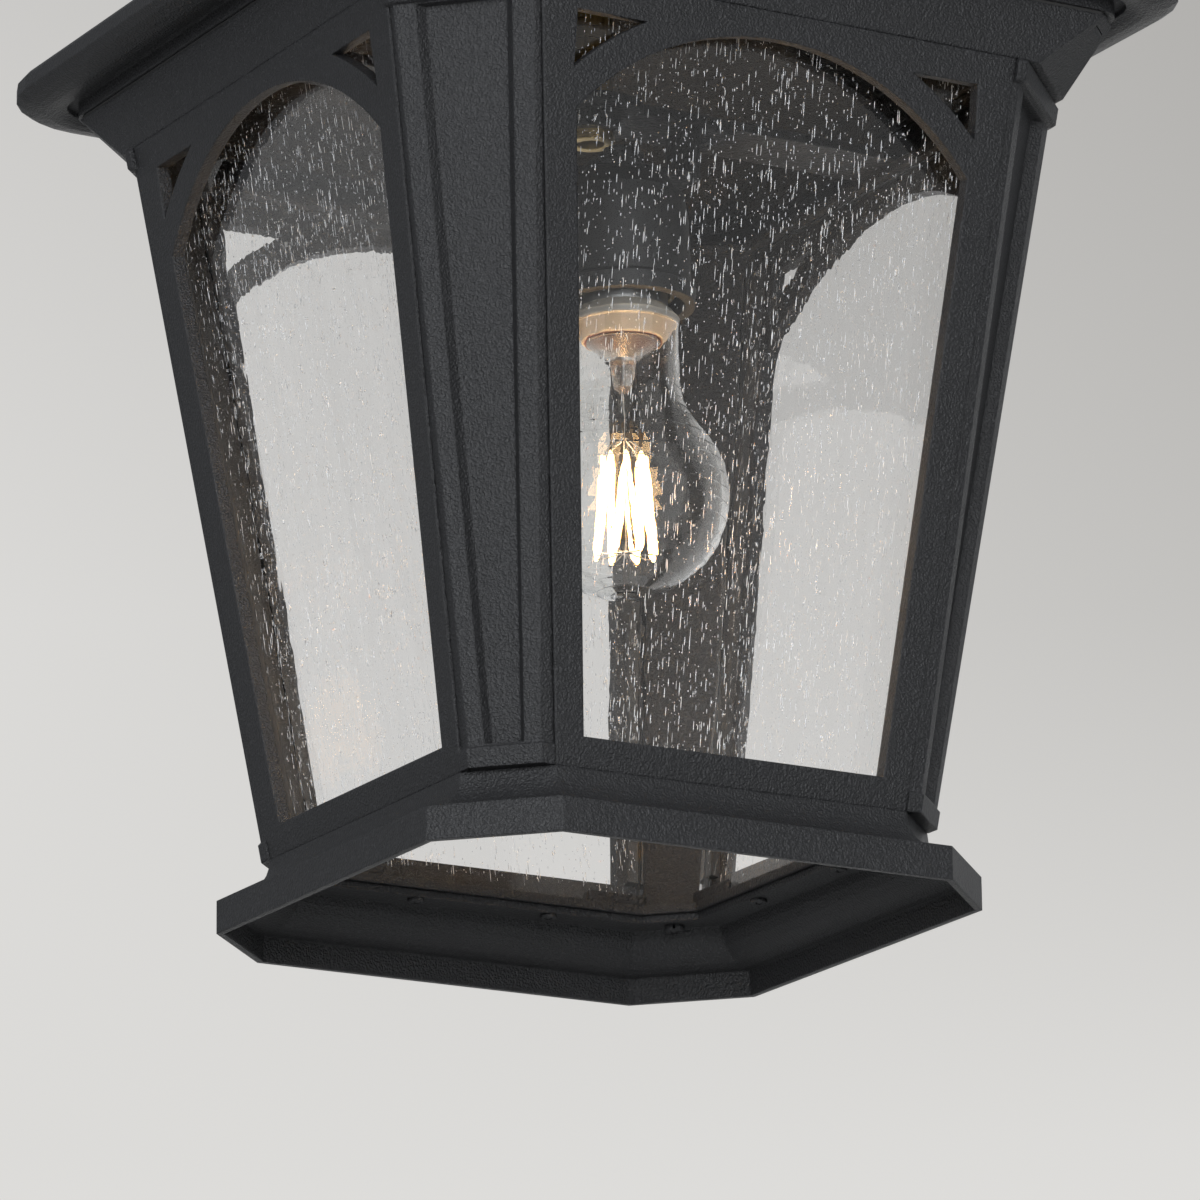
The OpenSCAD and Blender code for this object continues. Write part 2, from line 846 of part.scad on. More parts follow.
// Crossbar over the cage that carries the lamp and the hanger tube
module crossbar() {
    color("#8b8c8e")
        hung()
            translate([0, 0, bar_z + touch])
                difference() {
                    linear_extrude(bar_thick - touch) {
                        translate([-bar_half, -bar_width / 2])
                            square([2 * bar_half, bar_width]);
                        circle(r = bar_disc_r);
                    }
                    translate([0, 0, -1])
                        cylinder(r = tube_r + tube_gap, h = bar_thick + 2);
                    at_bar_ends()
                        translate([0, 0, -1])
                            cylinder(r = screw_r + screw_gap, h = bar_thick + 2, $fn = 24);
                    translate([saddle_screw_x, lamp_y, -1])
                        cylinder(r = screw_r + screw_gap, h = bar_thick + 2, $fn = 24);
                }
}

module crossbar_screws() {
    color("#b9b9b4")
        hung()
            at_bar_ends()
                translate([0, 0, bar_top + touch + screw_head])
                    mirror([0, 0, 1])
                        screw_up(bar_thick + frieze_flange);
}

// Threaded tube that carries the lantern from its loop
module hanger_tube() {
    color("#c2a24e")
        hung()
            pipe(tube_r, tube_bore, tube_low, tube_top);
}

module pipe(outer, bore, low, high) {
    translate([0, 0, low])
        difference() {
            cylinder(r = outer, h = high - low);
            translate([0, 0, -1])
                cylinder(r = bore, h = high - low + 2);
        }
}

// Hexagon nut with a round bore
module hex_nut(r, bore, thick) {
    difference() {
        cylinder(r = r, h = thick, $fn = 6);
        translate([0, 0, -1])
            cylinder(r = bore, h = thick + 2);
    }
}

module hanger_nut() {
    color("#c2a24e")
        hung()
            translate([0, 0, bar_z - nut_thick])
                hex_nut(nut_r, tube_r + tube_gap, nut_thick);
}

// Cast loop: ring on a boss with a socket for the tube and a side hole for the supply
module cast_loop() {
    difference() {
        union() {
            cylinder(r = boss_r, h = boss_height);
            translate([0, 0, boss_height + loop_bend + 1])
                rotate([90, 0, 0])
                    rotate_extrude()
                        translate([loop_bend, 0])
                            circle(r = loop_wire, $fn = 24);
        }
        translate([0, 0, -1])
            cylinder(r = tube_r + tube_gap, h = tube_depth + 1);
        translate([0, 0, tube_depth - 1])
            cylinder(r = tube_bore, h = way_z - tube_depth + 1);
        translate([0, 0, way_z])
            rotate([0, 90, 0])
                cylinder(r = bush_r + tube_gap, h = boss_r + 2);
    }
}

// Rubber bush in the loop's side hole
module side_bush() {
    translate([tube_bore + 0.5, 0, way_z])
        rotate([0, 90, 0])
            difference() {
                union() {
                    cylinder(r = bush_r, h = boss_r - tube_bore);
                    translate([0, 0, boss_r - tube_bore - 0.3])
                        cylinder(r = bush_r + 0.9, h = 1.6);
                }
                translate([0, 0, -1])
                    cylinder(r = bush_bore, h = boss_r + 2);
            }
}

module hanging_loop() {
    color("#2a2a2c")
        hung()
            translate([0, 0, crown_top + touch])
                rotate([0, 0, 90])
                    cast_loop();
}

module loop_bush() {
    color("#151515")
        hung()
            translate([0, 0, crown_top + touch])
                rotate([0, 0, 90])
                    side_bush();
}

// Bent strap that holds the lampholder under the crossbar
module holder_saddle() {
    color("#8b8c8e")
        hung()
            translate([0, lamp_y + saddle_width / 2, 0])
                rotate([90, 0, 0])
                    difference() {
                        linear_extrude(saddle_width)
                            polygon([
                                [lamp_x - saddle_back, saddle_z], [saddle_web, saddle_z],
                                [saddle_web, bar_z - touch - saddle_thick],
                                [saddle_screw_x + saddle_end, bar_z - touch - saddle_thick],
                                [saddle_screw_x + saddle_end, bar_z - touch],
                                [saddle_web - saddle_thick, bar_z - touch],
                                [saddle_web - saddle_thick, saddle_z + saddle_thick],
                                [lamp_x - saddle_back, saddle_z + saddle_thick]
                            ]);
                        translate([lamp_x, saddle_z - 1, saddle_width / 2])
                            rotate([-90, 0, 0])
                                cylinder(r = nipple_r + tube_gap, h = saddle_thick + 2);
                        translate([saddle_screw_x, bar_z - saddle_thick - 1, saddle_width / 2])
                            rotate([-90, 0, 0])
                                cylinder(r = screw_r + screw_gap, h = saddle_thick + 2, $fn = 24);
                    }
}

module saddle_screws() {
    color("#b9b9b4")
        hung()
            translate([saddle_screw_x, lamp_y, bar_z - 2 * touch - saddle_thick - screw_head])
                screw_up(saddle_thick + bar_thick);
}

// Put something on the lamp's own axis
module lamp_axis() {
    hung()
        translate([lamp_x, lamp_y, 0])
            children();
}

module holder_nipple() {
    color("#c2a24e")
        lamp_axis()
            pipe(nipple_r, nipple_bore, holder_top - holder_roof, nipple_top);
}

module nipple_nut() {
    color("#c2a24e")
        lamp_axis()
            translate([0, 0, saddle_z + saddle_thick + touch])
                hex_nut(nipple_r + 3, nipple_r + tube_gap, nipple_nut_thick);
}

// Lampholder body with its shoulder and skirt
module holder_body() {
    inner = holder_r - holder_wall;
    color("#1b1b1c")
        lamp_axis()
            rotate_extrude()
                polygon([
                    [inner, holder_low], [holder_r + 1.2, holder_low], [holder_r + 1.2, holder_low + 5],
                    [holder_r, holder_low + 6], [holder_r - 1, holder_top - 12],
                    [holder_r - 1.6, holder_top - 7], [holder_r - 6, holder_top - 1.5],
                    [nipple_r + 4, holder_top],
                    [nipple_r + tube_gap, holder_top], [nipple_r + tube_gap, holder_top - holder_roof],
                    [shell_r - 3, holder_top - holder_roof], [shell_r + seat, holder_top - holder_roof - 4],
                    [shell_r + seat, holder_top - 14], [inner, holder_top - 16]
                ]);
}

// Screw shell that takes the lamp's cap
module holder_shell() {
    color("#c9a04a")
        lamp_axis()
            pipe(shell_r, cap_r + shell_gap, holder_low + 3, holder_top - holder_roof - 4);
}

module holder_contact() {
    color("#c9a04a")
        lamp_axis()
            translate([0, 0, contact_z])
                cylinder(r = contact_r, h = contact_height);
}

module terminal_block() {
    color("#e4e2da")
        hung()
            translate([-block_at - block_length / 2, -block_width / 2, bar_top + touch])
                difference() {
                    cube([block_length, block_width, block_height]);
                    for (k = [-1, 0, 1])
                        translate([block_length / 2 + k * block_pitch, -1, block_height * 0.4])
                            rotate([-90, 0, 0])
                                cylinder(r = terminal_r, h = block_width + 2, $fn = 24);
                }
}

module earth_screw() {
    color("#5f9a3f")
        hung()
            translate([-earth_at, 0, bar_top + touch])
                cylinder(r = earth_r, h = earth_height, $fn = 24);
}

// Outline of the lamp's glass, from its foot up to its neck
function bulb_outline(r, neck, foot) =
    let (turn = 33)
    let (a = [r * cos(turn), lamp_height + r * sin(turn)])
    let (b = [a.x - 8 * sin(turn), a.y + 8 * cos(turn)])
    let (c = [neck, lamp_height + 26])
    let (d = [neck, lamp_height + 36])
    concat(
        [for (i = [0:15]) let (t = mix(-90, turn, i / 15)) [r * cos(t), lamp_height + r * sin(t)]],
        [
            for (i = [1:6])
                let (t = i / 6)
                pow(1 - t, 3) * a + 3 * t * pow(1 - t, 2) * b + 3 * pow(t, 2) * (1 - t) * c + pow(t, 3) * d
        ],
        [[neck, foot]]
    );

// Clear envelope
module lamp_glass() {
    outer = bulb_outline(lamp_radius, neck_r, collar_z);
    inner = bulb_outline(lamp_radius - glass_wall, neck_r - glass_wall, collar_z);
    color("#e9eef0", 0.25)
        lamp_axis()
            rotate_extrude($fn = 64)
                difference() {
                    polygon(concat(outer, [[0, collar_z]]));
                    polygon(concat(inner, [[neck_r - glass_wall, collar_z + 1], [-1, collar_z + 1],
                        [-1, lamp_height - lamp_radius + glass_wall]]));
                }
}

// Ivory collar between the glass and the cap, with its inner cone
module lamp_collar() {
    color("#d9cdb0")
        lamp_axis()
            rotate_extrude()
                polygon([
                    [neck_r - glass_wall - 0.1, collar_z + touch], [neck_r, collar_z + touch],
                    [neck_r, collar_z + 2], [cap_r + 0.6, collar_z + collar_height],
                    [cap_r - 1.6, collar_z + collar_height], [cap_r - 1.6, collar_z + 2],
                    [cone_r - 0.8, collar_z - cone_drop], [cone_r, collar_z - cone_drop]
                ]);
}

module lamp_cap() {
    color("#c8c8c4")
        lamp_axis()
            pipe(cap_r, cap_r - 0.8, collar_z + collar_height + touch,
                collar_z + collar_height + cap_height);
}

module lamp_insulator() {
    color("#101010")
        lamp_axis()
            translate([0, 0, collar_z + collar_height + cap_height + touch])
                cylinder(r1 = cap_r - 1, r2 = 5, h = insulator_height);
}

module lamp_tip() {
    color("#b9b9b4")
        lamp_axis()
            translate([0, 0, tip_z])
                cylinder(r1 = 4.5, r2 = 3, h = tip_height);
}

// Flared glass stem
module lamp_stem() {
    color("#dfe6e8", 0.4)
        lamp_axis()
            rotate_extrude()
                polygon([
                    [0, stem_low], [1.2, stem_low], [2.6, stem_low + 1.4], [3.4, stem_low + 6],
                    [4.2, stem_low + 10], [cone_r - 1.2, collar_z - cone_drop - 0.4],
                    [cone_r - 2.2, collar_z - cone_drop - 0.1], [3, stem_low + 11], [0, stem_low + 11]
                ]);
}

// A thin rod between two points
module rod(a, b, r) {
    d = b - a;
    len = norm(d);
    translate(a)
        rotate([0, acos(d.z / len), atan2(d.y, d.x)])
            cylinder(r = r, h = len, $fn = 16);
}

// Wires that carry the filaments
module lamp_supports() {
    color("#9a8a66")
        lamp_axis() {
            rod([0, 0, filament_low - 0.5], [0, 0, stem_low - touch], wire_thin);
            for (k = [0:filaments - 1])
                rotate([0, 0, 360 * k / filaments + filament_turn]) {
                    rod([0, 0, filament_low], [filament_out - 0.4, 0, filament_low], wire_thin);
                    rod([0, 0, filament_high + 6], [filament_in - 0.4, 0, filament_high], wire_thin);
                }
        }
}

module lamp_filaments() {
    color("#ffb347")
        lamp_axis()
            for (k = [0:filaments - 1])
                rotate([0, 0, 360 * k / filaments + filament_turn])
                    rod([filament_out + 0.7, 0, filament_low], [filament_in + 0.7, 0, filament_high],
                        filament_r);
}

// One oval chain link, standing in the plane of Y and Z
module chain_link() {
    half = link_straight / 2;
    rotate([0, 0, 90]) {
        for (turn = [0, 180])
            rotate([0, turn, 0])
                translate([0, 0, half])
                    rotate([90, 0, 0])
                        rotate_extrude(angle = 180)
                            translate([link_bend, 0])
                                circle(r = wire_radius, $fn = 24);
        for (side = [-1, 1])
            translate([side * link_bend, 0, -half])
                cylinder(r = wire_radius, h = link_straight, $fn = 24);
    }
}

module chain_place(k) {
    color("#1f1f21")
        translate([0, 0, first_link_top - link_span / 2 - k * link_pitch])
            rotate([0, 0, 90 * k])
                chain_link();
}
module chain_link_1() { chain_place(0); }
module chain_link_2() { chain_place(1); }
module chain_link_3() { chain_place(2); }
module chain_link_4() { chain_place(3); }

// Strap that is screwed to the ceiling
module ceiling_bracket() {
    color("#a9aaac")
        difference() {
            translate([0, bracket_width / 2, 0])
                rotate([90, 0, 0])
                    linear_extrude(bracket_width)
                        polygon([
                            [-bracket_half, 0], [-bracket_half, -bracket_thick],
                            [-bracket_web, -bracket_thick],
                            [-bracket_web, -bracket_drop - bracket_thick],
                            [bracket_web, -bracket_drop - bracket_thick],
                            [bracket_web, -bracket_thick], [bracket_half, -bracket_thick],
                            [bracket_half, 0],
                            [bracket_web - bracket_thick, 0], [bracket_web - bracket_thick, -bracket_drop],
                            [bracket_thick - bracket_web, -bracket_drop], [bracket_thick - bracket_web, 0]
                        ]);
            translate([0, 0, -bracket_drop - bracket_thick - 1])
                cylinder(r = tube_r + tube_gap, h = bracket_thick + 2);
            for (side = [-1, 1])
                translate([side * fixing_spacing / 2, 0, -bracket_thick - 1])
                    fixing_slot(bracket_thick + 2);
            translate([bracket_earth_x, 0, -bracket_drop - bracket_thick - 1])
                cylinder(r = screw_r + screw_gap, h = bracket_thick + 2, $fn = 24);
        }
}

module fixing_slot(deep) {
    run = fixing_slot_length / 2 - fixing_slot_r;
    for (side = [-1, 1])
        translate([side * run, 0, 0])
            cylinder(r = fixing_slot_r, h = deep);
    translate([-run, -fixing_slot_r, 0])
        cube([2 * run, 2 * fixing_slot_r, deep]);
}

module bracket_earth_screw() {
    color("#5f9a3f")
        translate([bracket_earth_x, 0, -bracket_drop - bracket_thick - touch - screw_head])
            screw_up(bracket_thick + 1.5);
}

// Threaded tube that carries the canopy and its loop
module canopy_tube() {
    color("#c2a24e")
        pipe(tube_r, tube_bore, -canopy_depth - tube_depth, -0.8);
}

module canopy_tube_nut() {
    color("#c2a24e")
        translate([0, 0, -bracket_drop + touch])
            hex_nut(nut_r, tube_r + tube_gap, bracket_drop - 1.2);
}

// Spun ceiling canopy
module ceiling_canopy() {
    steps = 8;
    flat_r = boss_r + 4;
    outer = [
        for (i = [0:steps])
            let (a = 90 * i / steps)
            [flat_r + (canopy_radius - 1 - flat_r) * cos(a), -3 - (canopy_depth - 3) * sin(a)]
    ];
    inner = [
        for (i = [steps:-1:0])
            let (a = 90 * i / steps)
            [flat_r + (canopy_radius - 1 - canopy_wall - flat_r) * cos(a),
                -3 - (canopy_depth - 3 - canopy_wall) * sin(a)]
    ];
    color("#2a2a2c")
        rotate_extrude($fn = 64)
            polygon(concat(
                [[canopy_radius - canopy_wall - 1, 0], [canopy_radius, 0], [canopy_radius, -3]],
                outer,
                [[tube_r + tube_gap, -canopy_depth], [tube_r + tube_gap, canopy_wall - canopy_depth]],
                inner
            ));
}

module canopy_loop() {
    color("#2a2a2c")
        translate([0, 0, -canopy_depth - touch])
            rotate([180, 0, 0])
                cast_loop();
}

module canopy_bush() {
    color("#151515")
        translate([0, 0, -canopy_depth - touch])
            rotate([180, 0, 0])
                side_bush();
}

base_ring();
glazing_ledge();
glass_stops();
glazing_pads();
post_front_left();
post_front_right();
post_back_right();
post_back_left();
window_frame_front();
window_frame_right();
window_frame_back();
window_frame_left();
pane_front();
pane_right();
pane_back();
pane_left();
foot_screws();
ledge_screws();
head_screws();
frieze_ring();
roof_gasket();
roof_shell();
vented_neck();
crown_cap();
crossbar();
crossbar_screws();
hanger_tube();
hanger_nut();
hanging_loop();
loop_bush();
holder_saddle();
saddle_screws();
holder_nipple();
nipple_nut();
holder_body();
holder_shell();
holder_contact();
terminal_block();
earth_screw();
lamp_glass();
lamp_collar();
lamp_cap();
lamp_insulator();
lamp_tip();
lamp_stem();
lamp_supports();
lamp_filaments();
chain_link_1();
chain_link_2();
chain_link_3();
chain_link_4();
ceiling_bracket();
canopy_tube();
canopy_tube_nut();
ceiling_canopy();
canopy_loop();
canopy_bush();
bracket_earth_screw();
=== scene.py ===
import json
import math
import bmesh
import bpy
from mathutils import Matrix, Vector


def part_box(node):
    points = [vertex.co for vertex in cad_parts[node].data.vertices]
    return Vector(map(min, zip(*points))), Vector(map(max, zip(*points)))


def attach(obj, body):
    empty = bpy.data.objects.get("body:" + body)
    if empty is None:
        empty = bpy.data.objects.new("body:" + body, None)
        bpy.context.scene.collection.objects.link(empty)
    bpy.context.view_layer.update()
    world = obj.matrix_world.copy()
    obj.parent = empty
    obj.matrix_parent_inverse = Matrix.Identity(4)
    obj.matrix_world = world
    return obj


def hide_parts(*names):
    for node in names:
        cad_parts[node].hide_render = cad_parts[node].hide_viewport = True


# Hanging lantern: powder-coated cage, seeded glass, clear filament lamp, short chain and canopy.
# Metres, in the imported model's own frame, with the origin at the ceiling.
# The dictionaries of the drawn pieces (seeds, chain links, filament) give their sizes in millimetres.

print("loading the frame")
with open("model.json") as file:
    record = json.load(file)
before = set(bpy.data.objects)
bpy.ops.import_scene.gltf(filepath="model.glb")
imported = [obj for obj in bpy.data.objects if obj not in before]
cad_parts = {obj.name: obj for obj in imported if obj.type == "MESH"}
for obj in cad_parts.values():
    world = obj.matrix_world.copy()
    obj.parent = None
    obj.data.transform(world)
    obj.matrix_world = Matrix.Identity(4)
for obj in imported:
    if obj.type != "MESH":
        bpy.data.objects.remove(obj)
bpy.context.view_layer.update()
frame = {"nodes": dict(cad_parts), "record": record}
nodes = frame["nodes"]
slotOf = {sub["node"]: sub["material_slot"] for sub in frame["record"]["subparts"]}
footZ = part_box("base_ring")[0].z
lampLow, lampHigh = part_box("lamp_glass")
lampAxis = Vector(((lampLow.x + lampHigh.x) / 2, (lampLow.y + lampHigh.y) / 2, 0))


# Helpers for objects and nodes

def addObject(name, data):
    obj = bpy.data.objects.new(name, data)
    bpy.context.scene.collection.objects.link(obj)
    return obj


def addNode(tree, kind, **values):
    node = tree.nodes.new(kind)
    for label, value in values.items():
        setattr(node, label, value)
    return node


# sets inputs by name: a socket is linked, anything else becomes the constant
def feed(tree, node, **sockets):
    for label, value in sockets.items():
        socket = node.inputs[label.replace("_", " ")]
        if isinstance(value, bpy.types.NodeSocket):
            tree.links.new(value, socket)
        else:
            socket.default_value = value
    return node


def mathNode(tree, operation, a, b, clamp=False):
    node = addNode(tree, "ShaderNodeMath", operation=operation, use_clamp=clamp)
    for socket, value in ((node.inputs[0], a), (node.inputs[1], b)):
        if isinstance(value, (int, float)):
            socket.default_value = value
        else:
            tree.links.new(value, socket)
    return node.outputs[0]


def rangeNode(tree, value, low, high, toLow=0.0, toHigh=1.0):
    node = addNode(tree, "ShaderNodeMapRange")
    feed(tree, node, Value=value, From_Min=low, From_Max=high, To_Min=toLow, To_Max=toHigh)
    return node.outputs["Result"]


def noiseNode(tree, position, scale, detail, rough=0.5):
    node = addNode(tree, "ShaderNodeTexNoise")
    feed(tree, node, Vector=position, Scale=scale, Detail=detail, Roughness=rough)
    return node.outputs["Fac"]


def mixColour(tree, factor, a, b):
    node = addNode(tree, "ShaderNodeMix", data_type="RGBA")
    for label, value in (("Factor", factor), ("A", a), ("B", b)):
        feed(tree, node, **{label: (*value, 1) if isinstance(value, tuple) else value})
    return node.outputs["Result"]


def mixShader(tree, factor, first, second):
    node = feed(tree, addNode(tree, "ShaderNodeMixShader"), Fac=factor)
    tree.links.new(first, node.inputs[1])
    tree.links.new(second, node.inputs[2])
    return node.outputs[0]


# one where the camera sees the surface, straight or through glass
def seenRay(tree):
    path = addNode(tree, "ShaderNodeLightPath")
    return mathNode(tree, "MAXIMUM", path.outputs["Is Camera Ray"], path.outputs["Is Transmission Ray"])


# Camera and light

# the eye is given from the lantern's axis at the underside of its base ring
cameraView = {
    "eye": (-1.0137, -1.7481, -0.4776), "yaw": 0.52634, "pitch": 0.27586, "roll": -0.01194,
    "lens": 220.64, "sensor": 36, "farthest": 60,
}


def placeCamera():
    yaw, pitch, roll = cameraView["yaw"], cameraView["pitch"], cameraView["roll"]
    forward = Vector((math.sin(yaw) * math.cos(pitch), math.cos(yaw) * math.cos(pitch), math.sin(pitch)))
    side = Vector((math.cos(yaw), -math.sin(yaw), 0))
    up = side.cross(forward)
    right = math.cos(roll) * side + math.sin(roll) * up
    top = math.cos(roll) * up - math.sin(roll) * side
    cam = addObject("camera", bpy.data.cameras.new("camera"))
    cam.data.lens = cameraView["lens"]
    cam.data.sensor_width = cameraView["sensor"]
    cam.data.clip_end = cameraView["farthest"]
    place = Matrix((right, top, -forward)).transposed().to_4x4()
    place.translation = Vector(cameraView["eye"]) + Vector((0, 0, footZ))
    cam.matrix_world = place
    bpy.context.scene.camera = cam


# the room as seen: its shade falls with height, and with the way to the right above the given rise
backdrop = {
    "low": (0.730, 0.722, 0.705), "high": (0.520, 0.512, 0.498), "slope": (0.19, 0.35),
    "rise": (0.2, 0.27), "across": 0.95, "acrossMost": 0.1, "light": 0.36, "lightColour": (0.93, 0.96, 1.0),
}


def makeWorld():
    world = bpy.data.worlds.new("paleRoom")
    bpy.context.scene.world = world
    world.use_nodes = True
    tree = world.node_tree
    tree.nodes.clear()
    way = addNode(tree, "ShaderNodeTexCoord").outputs["Generated"]
    split = feed(tree, addNode(tree, "ShaderNodeSeparateXYZ"), Vector=way)
    grade = rangeNode(tree, split.outputs["Z"], *backdrop["slope"])
    tint = mixColour(tree, grade, backdrop["low"], backdrop["high"])
    side = addNode(tree, "ShaderNodeVectorMath", operation="DOT_PRODUCT")
    side.inputs[1].default_value = (-math.cos(cameraView["yaw"]), math.sin(cameraView["yaw"]), 0)
    tree.links.new(way, side.inputs[0])
    rising = rangeNode(tree, split.outputs["Z"], *backdrop["rise"], 0.0, backdrop["across"])
    shift = mathNode(tree, "MULTIPLY", side.outputs["Value"], rising)
    most = backdrop["acrossMost"]
    near = feed(tree, addNode(tree, "ShaderNodeClamp"), Value=shift, Min=-most, Max=most)
    spread = addNode(tree, "ShaderNodeVectorMath", operation="ADD")
    tree.links.new(tint, spread.inputs[0])
    tree.links.new(near.outputs[0], spread.inputs[1])
    seen = feed(tree, addNode(tree, "ShaderNodeBackground"), Color=spread.outputs["Vector"])
    lit = addNode(tree, "ShaderNodeBackground")
    feed(tree, lit, Color=(*backdrop["lightColour"], 1), Strength=backdrop["light"])
    out = addNode(tree, "ShaderNodeOutputWorld")
    feed(tree, out, Surface=mixShader(tree, seenRay(tree), lit.outputs[0], seen.outputs[0]))


# where each soft box stands, its size, power and colour; all look at one height above the foot
softBoxes = [
    {"name": "windowLeft", "at": (-2.4, -1.4, 0.62), "size": 1.4, "power": 15, "colour": (0.86, 0.92, 1.0)},
    {"name": "windowFront", "at": (-1.45, -2.6, 0.3), "size": 1.6, "power": 80, "colour": (0.96, 0.98, 1.0)},
    {"name": "backFill", "at": (1.8, 2.4, 0.6), "size": 2.0, "power": 16, "colour": (1.0, 0.99, 0.97)},
]
aimHeight = 0.13

lampGlow = {"power": 0.45, "radius": 0.012, "colour": (1.0, 0.62, 0.28)}


def aimAt(obj, at, target):
    turn = (target - at).to_track_quat("-Z", "Y").to_matrix().to_4x4()
    obj.matrix_world = Matrix.Translation(at) @ turn


# lights are kept out of the picture, where glass would show them as panels
def addLamp(lamp, power, colour):
    lamp.energy = power
    lamp.color = colour
    obj = addObject(lamp.name, lamp)
    obj.visible_camera = False
    obj.visible_transmission = False
    return obj


def addLights():
    middle = Vector((0, 0, footZ + aimHeight))
    for box in softBoxes:
        lamp = bpy.data.lights.new(box["name"], "AREA")
        lamp.shape = "SQUARE"
        lamp.size = box["size"]
        obj = addLamp(lamp, box["power"], box["colour"])
        aimAt(obj, Vector(box["at"]) + Vector((0, 0, footZ)), middle)
    glow = bpy.data.lights.new("filamentGlow", "POINT")
    glow.shadow_soft_size = lampGlow["radius"]
    obj = addLamp(glow, lampGlow["power"], lampGlow["colour"])
    low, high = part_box("lamp_filaments")
    obj.location = (low + high) / 2


floorPlate = {"size": 90.0, "drop": 2.0, "colour": (0.72, 0.715, 0.70), "seen": 0.42, "rough": 0.9}


def layFloor():
    half = floorPlate["size"] / 2
    z = footZ - floorPlate["drop"]
    mesh = bpy.data.meshes.new("floor")
    corners = [(-half, -half, z), (half, -half, z), (half, half, z), (-half, half, z)]
    mesh.from_pydata(corners, [], [(0, 1, 2, 3)])
    floor = addObject("floor", mesh)
    mat = bpy.data.materials.new("paleFloor")
    mat.use_nodes = True
    tree = mat.node_tree
    colour = (*floorPlate["colour"], 1)
    shader = feed(tree, tree.nodes["Principled BSDF"], Base_Color=colour, Roughness=floorPlate["rough"])
    seen = mathNode(tree, "MULTIPLY", seenRay(tree), floorPlate["seen"])
    pale = feed(tree, addNode(tree, "ShaderNodeEmission"), Color=colour, Strength=seen)
    both = addNode(tree, "ShaderNodeAddShader")
    tree.links.new(shader.outputs[0], both.inputs[0])
    tree.links.new(pale.outputs[0], both.inputs[1])
    feed(tree, tree.nodes["Material Output"], Surface=both.outputs[0])
    mesh.materials.append(mat)


# Shared effects

def newGroup(name, inputs, outputs):
    group = bpy.data.node_groups.new(name, "ShaderNodeTree")
    for label, kind, value in inputs:
        socket = group.interface.new_socket(label, in_out="INPUT", socket_type=kind)
        socket.default_value = value
    for label, kind in outputs:
        group.interface.new_socket(label, in_out="OUTPUT", socket_type=kind)
    return group, group.nodes.new("NodeGroupInput"), group.nodes.new("NodeGroupOutput")


# scales are in cycles a metre, and a pair is the part of the noise that counts
grainLook = {
    "scale": 1100.0, "detail": 2, "rough": 0.55, "specks": (0.56, 0.74), "coarseScale": 0.4, "coarseDetail": 1,
    "coarseWeight": 0.25, "cloudScale": 14, "cloudDetail": 3, "clouds": (0.3, 0.7),
}


# grain of a baked powder coat: fine pimples, slow unevenness and a few pale specks
def makeCoatGrain():
    group, given, out = newGroup(
        "coatGrain",
        [("Position", "NodeSocketVector", (0, 0, 0)), ("Scale", "NodeSocketFloat", grainLook["scale"])],
        [("Height", "NodeSocketFloat"), ("Specks", "NodeSocketFloat"), ("Cloud", "NodeSocketFloat")])
    position, scale = given.outputs["Position"], given.outputs["Scale"]
    fine = noiseNode(group, position, scale, grainLook["detail"], grainLook["rough"])
    wider = mathNode(group, "MULTIPLY", scale, grainLook["coarseScale"])
    coarse = noiseNode(group, position, wider, grainLook["coarseDetail"])
    cloud = noiseNode(group, position, grainLook["cloudScale"], grainLook["cloudDetail"])
    swell = mathNode(group, "MULTIPLY", coarse, grainLook["coarseWeight"])
    feed(group, out, Height=mathNode(group, "ADD", fine, swell),
         Specks=rangeNode(group, fine, *grainLook["specks"]), Cloud=rangeNode(group, cloud, *grainLook["clouds"]))
    return group


wearAndHighlightLook = {"samples": 4, "bend": (0.9, 0.995), "patchScale": 160, "patchDetail": 3, "patches": (0.35, 0.7)}


# mask of the outward edges, where a coat is thin and handled, and where the lamp's collar takes a painted highlight
# along its rim
def makeEdgeWearAndHighlight():
    group, given, out = newGroup(
        "edgeWearAndHighlight",
        [("Position", "NodeSocketVector", (0, 0, 0)), ("Amount", "NodeSocketFloat", 0.5),
         ("Radius", "NodeSocketFloat", 0.0006)],
        [("Mask", "NodeSocketFloat"), ("Normal", "NodeSocketVector")])
    soft = addNode(group, "ShaderNodeBevel", samples=wearAndHighlightLook["samples"])
    feed(group, soft, Radius=given.outputs["Radius"])
    geometry = addNode(group, "ShaderNodeNewGeometry")
    turn = addNode(group, "ShaderNodeVectorMath", operation="DOT_PRODUCT")
    group.links.new(soft.outputs["Normal"], turn.inputs[0])
    group.links.new(geometry.outputs["True Normal"], turn.inputs[1])
    bend = rangeNode(group, turn.outputs["Value"], *wearAndHighlightLook["bend"], 1.0, 0.0)
    patch = noiseNode(group, given.outputs["Position"], wearAndHighlightLook["patchScale"], wearAndHighlightLook["patchDetail"])
    wornAndHighlit = mathNode(group, "MULTIPLY", bend, rangeNode(group, patch, *wearAndHighlightLook["patches"]))
    feed(group, out, Mask=mathNode(group, "MULTIPLY", wornAndHighlit, given.outputs["Amount"], True),
         Normal=soft.outputs["Normal"])
    return group


brushLook = {
    "stretch": (1, 1, 18), "streakScale": 160, "streakDetail": 4, "streakRough": 0.6,
    "blotchScale": 60, "blotchDetail": 4, "blotches": (0.35, 0.7),
}


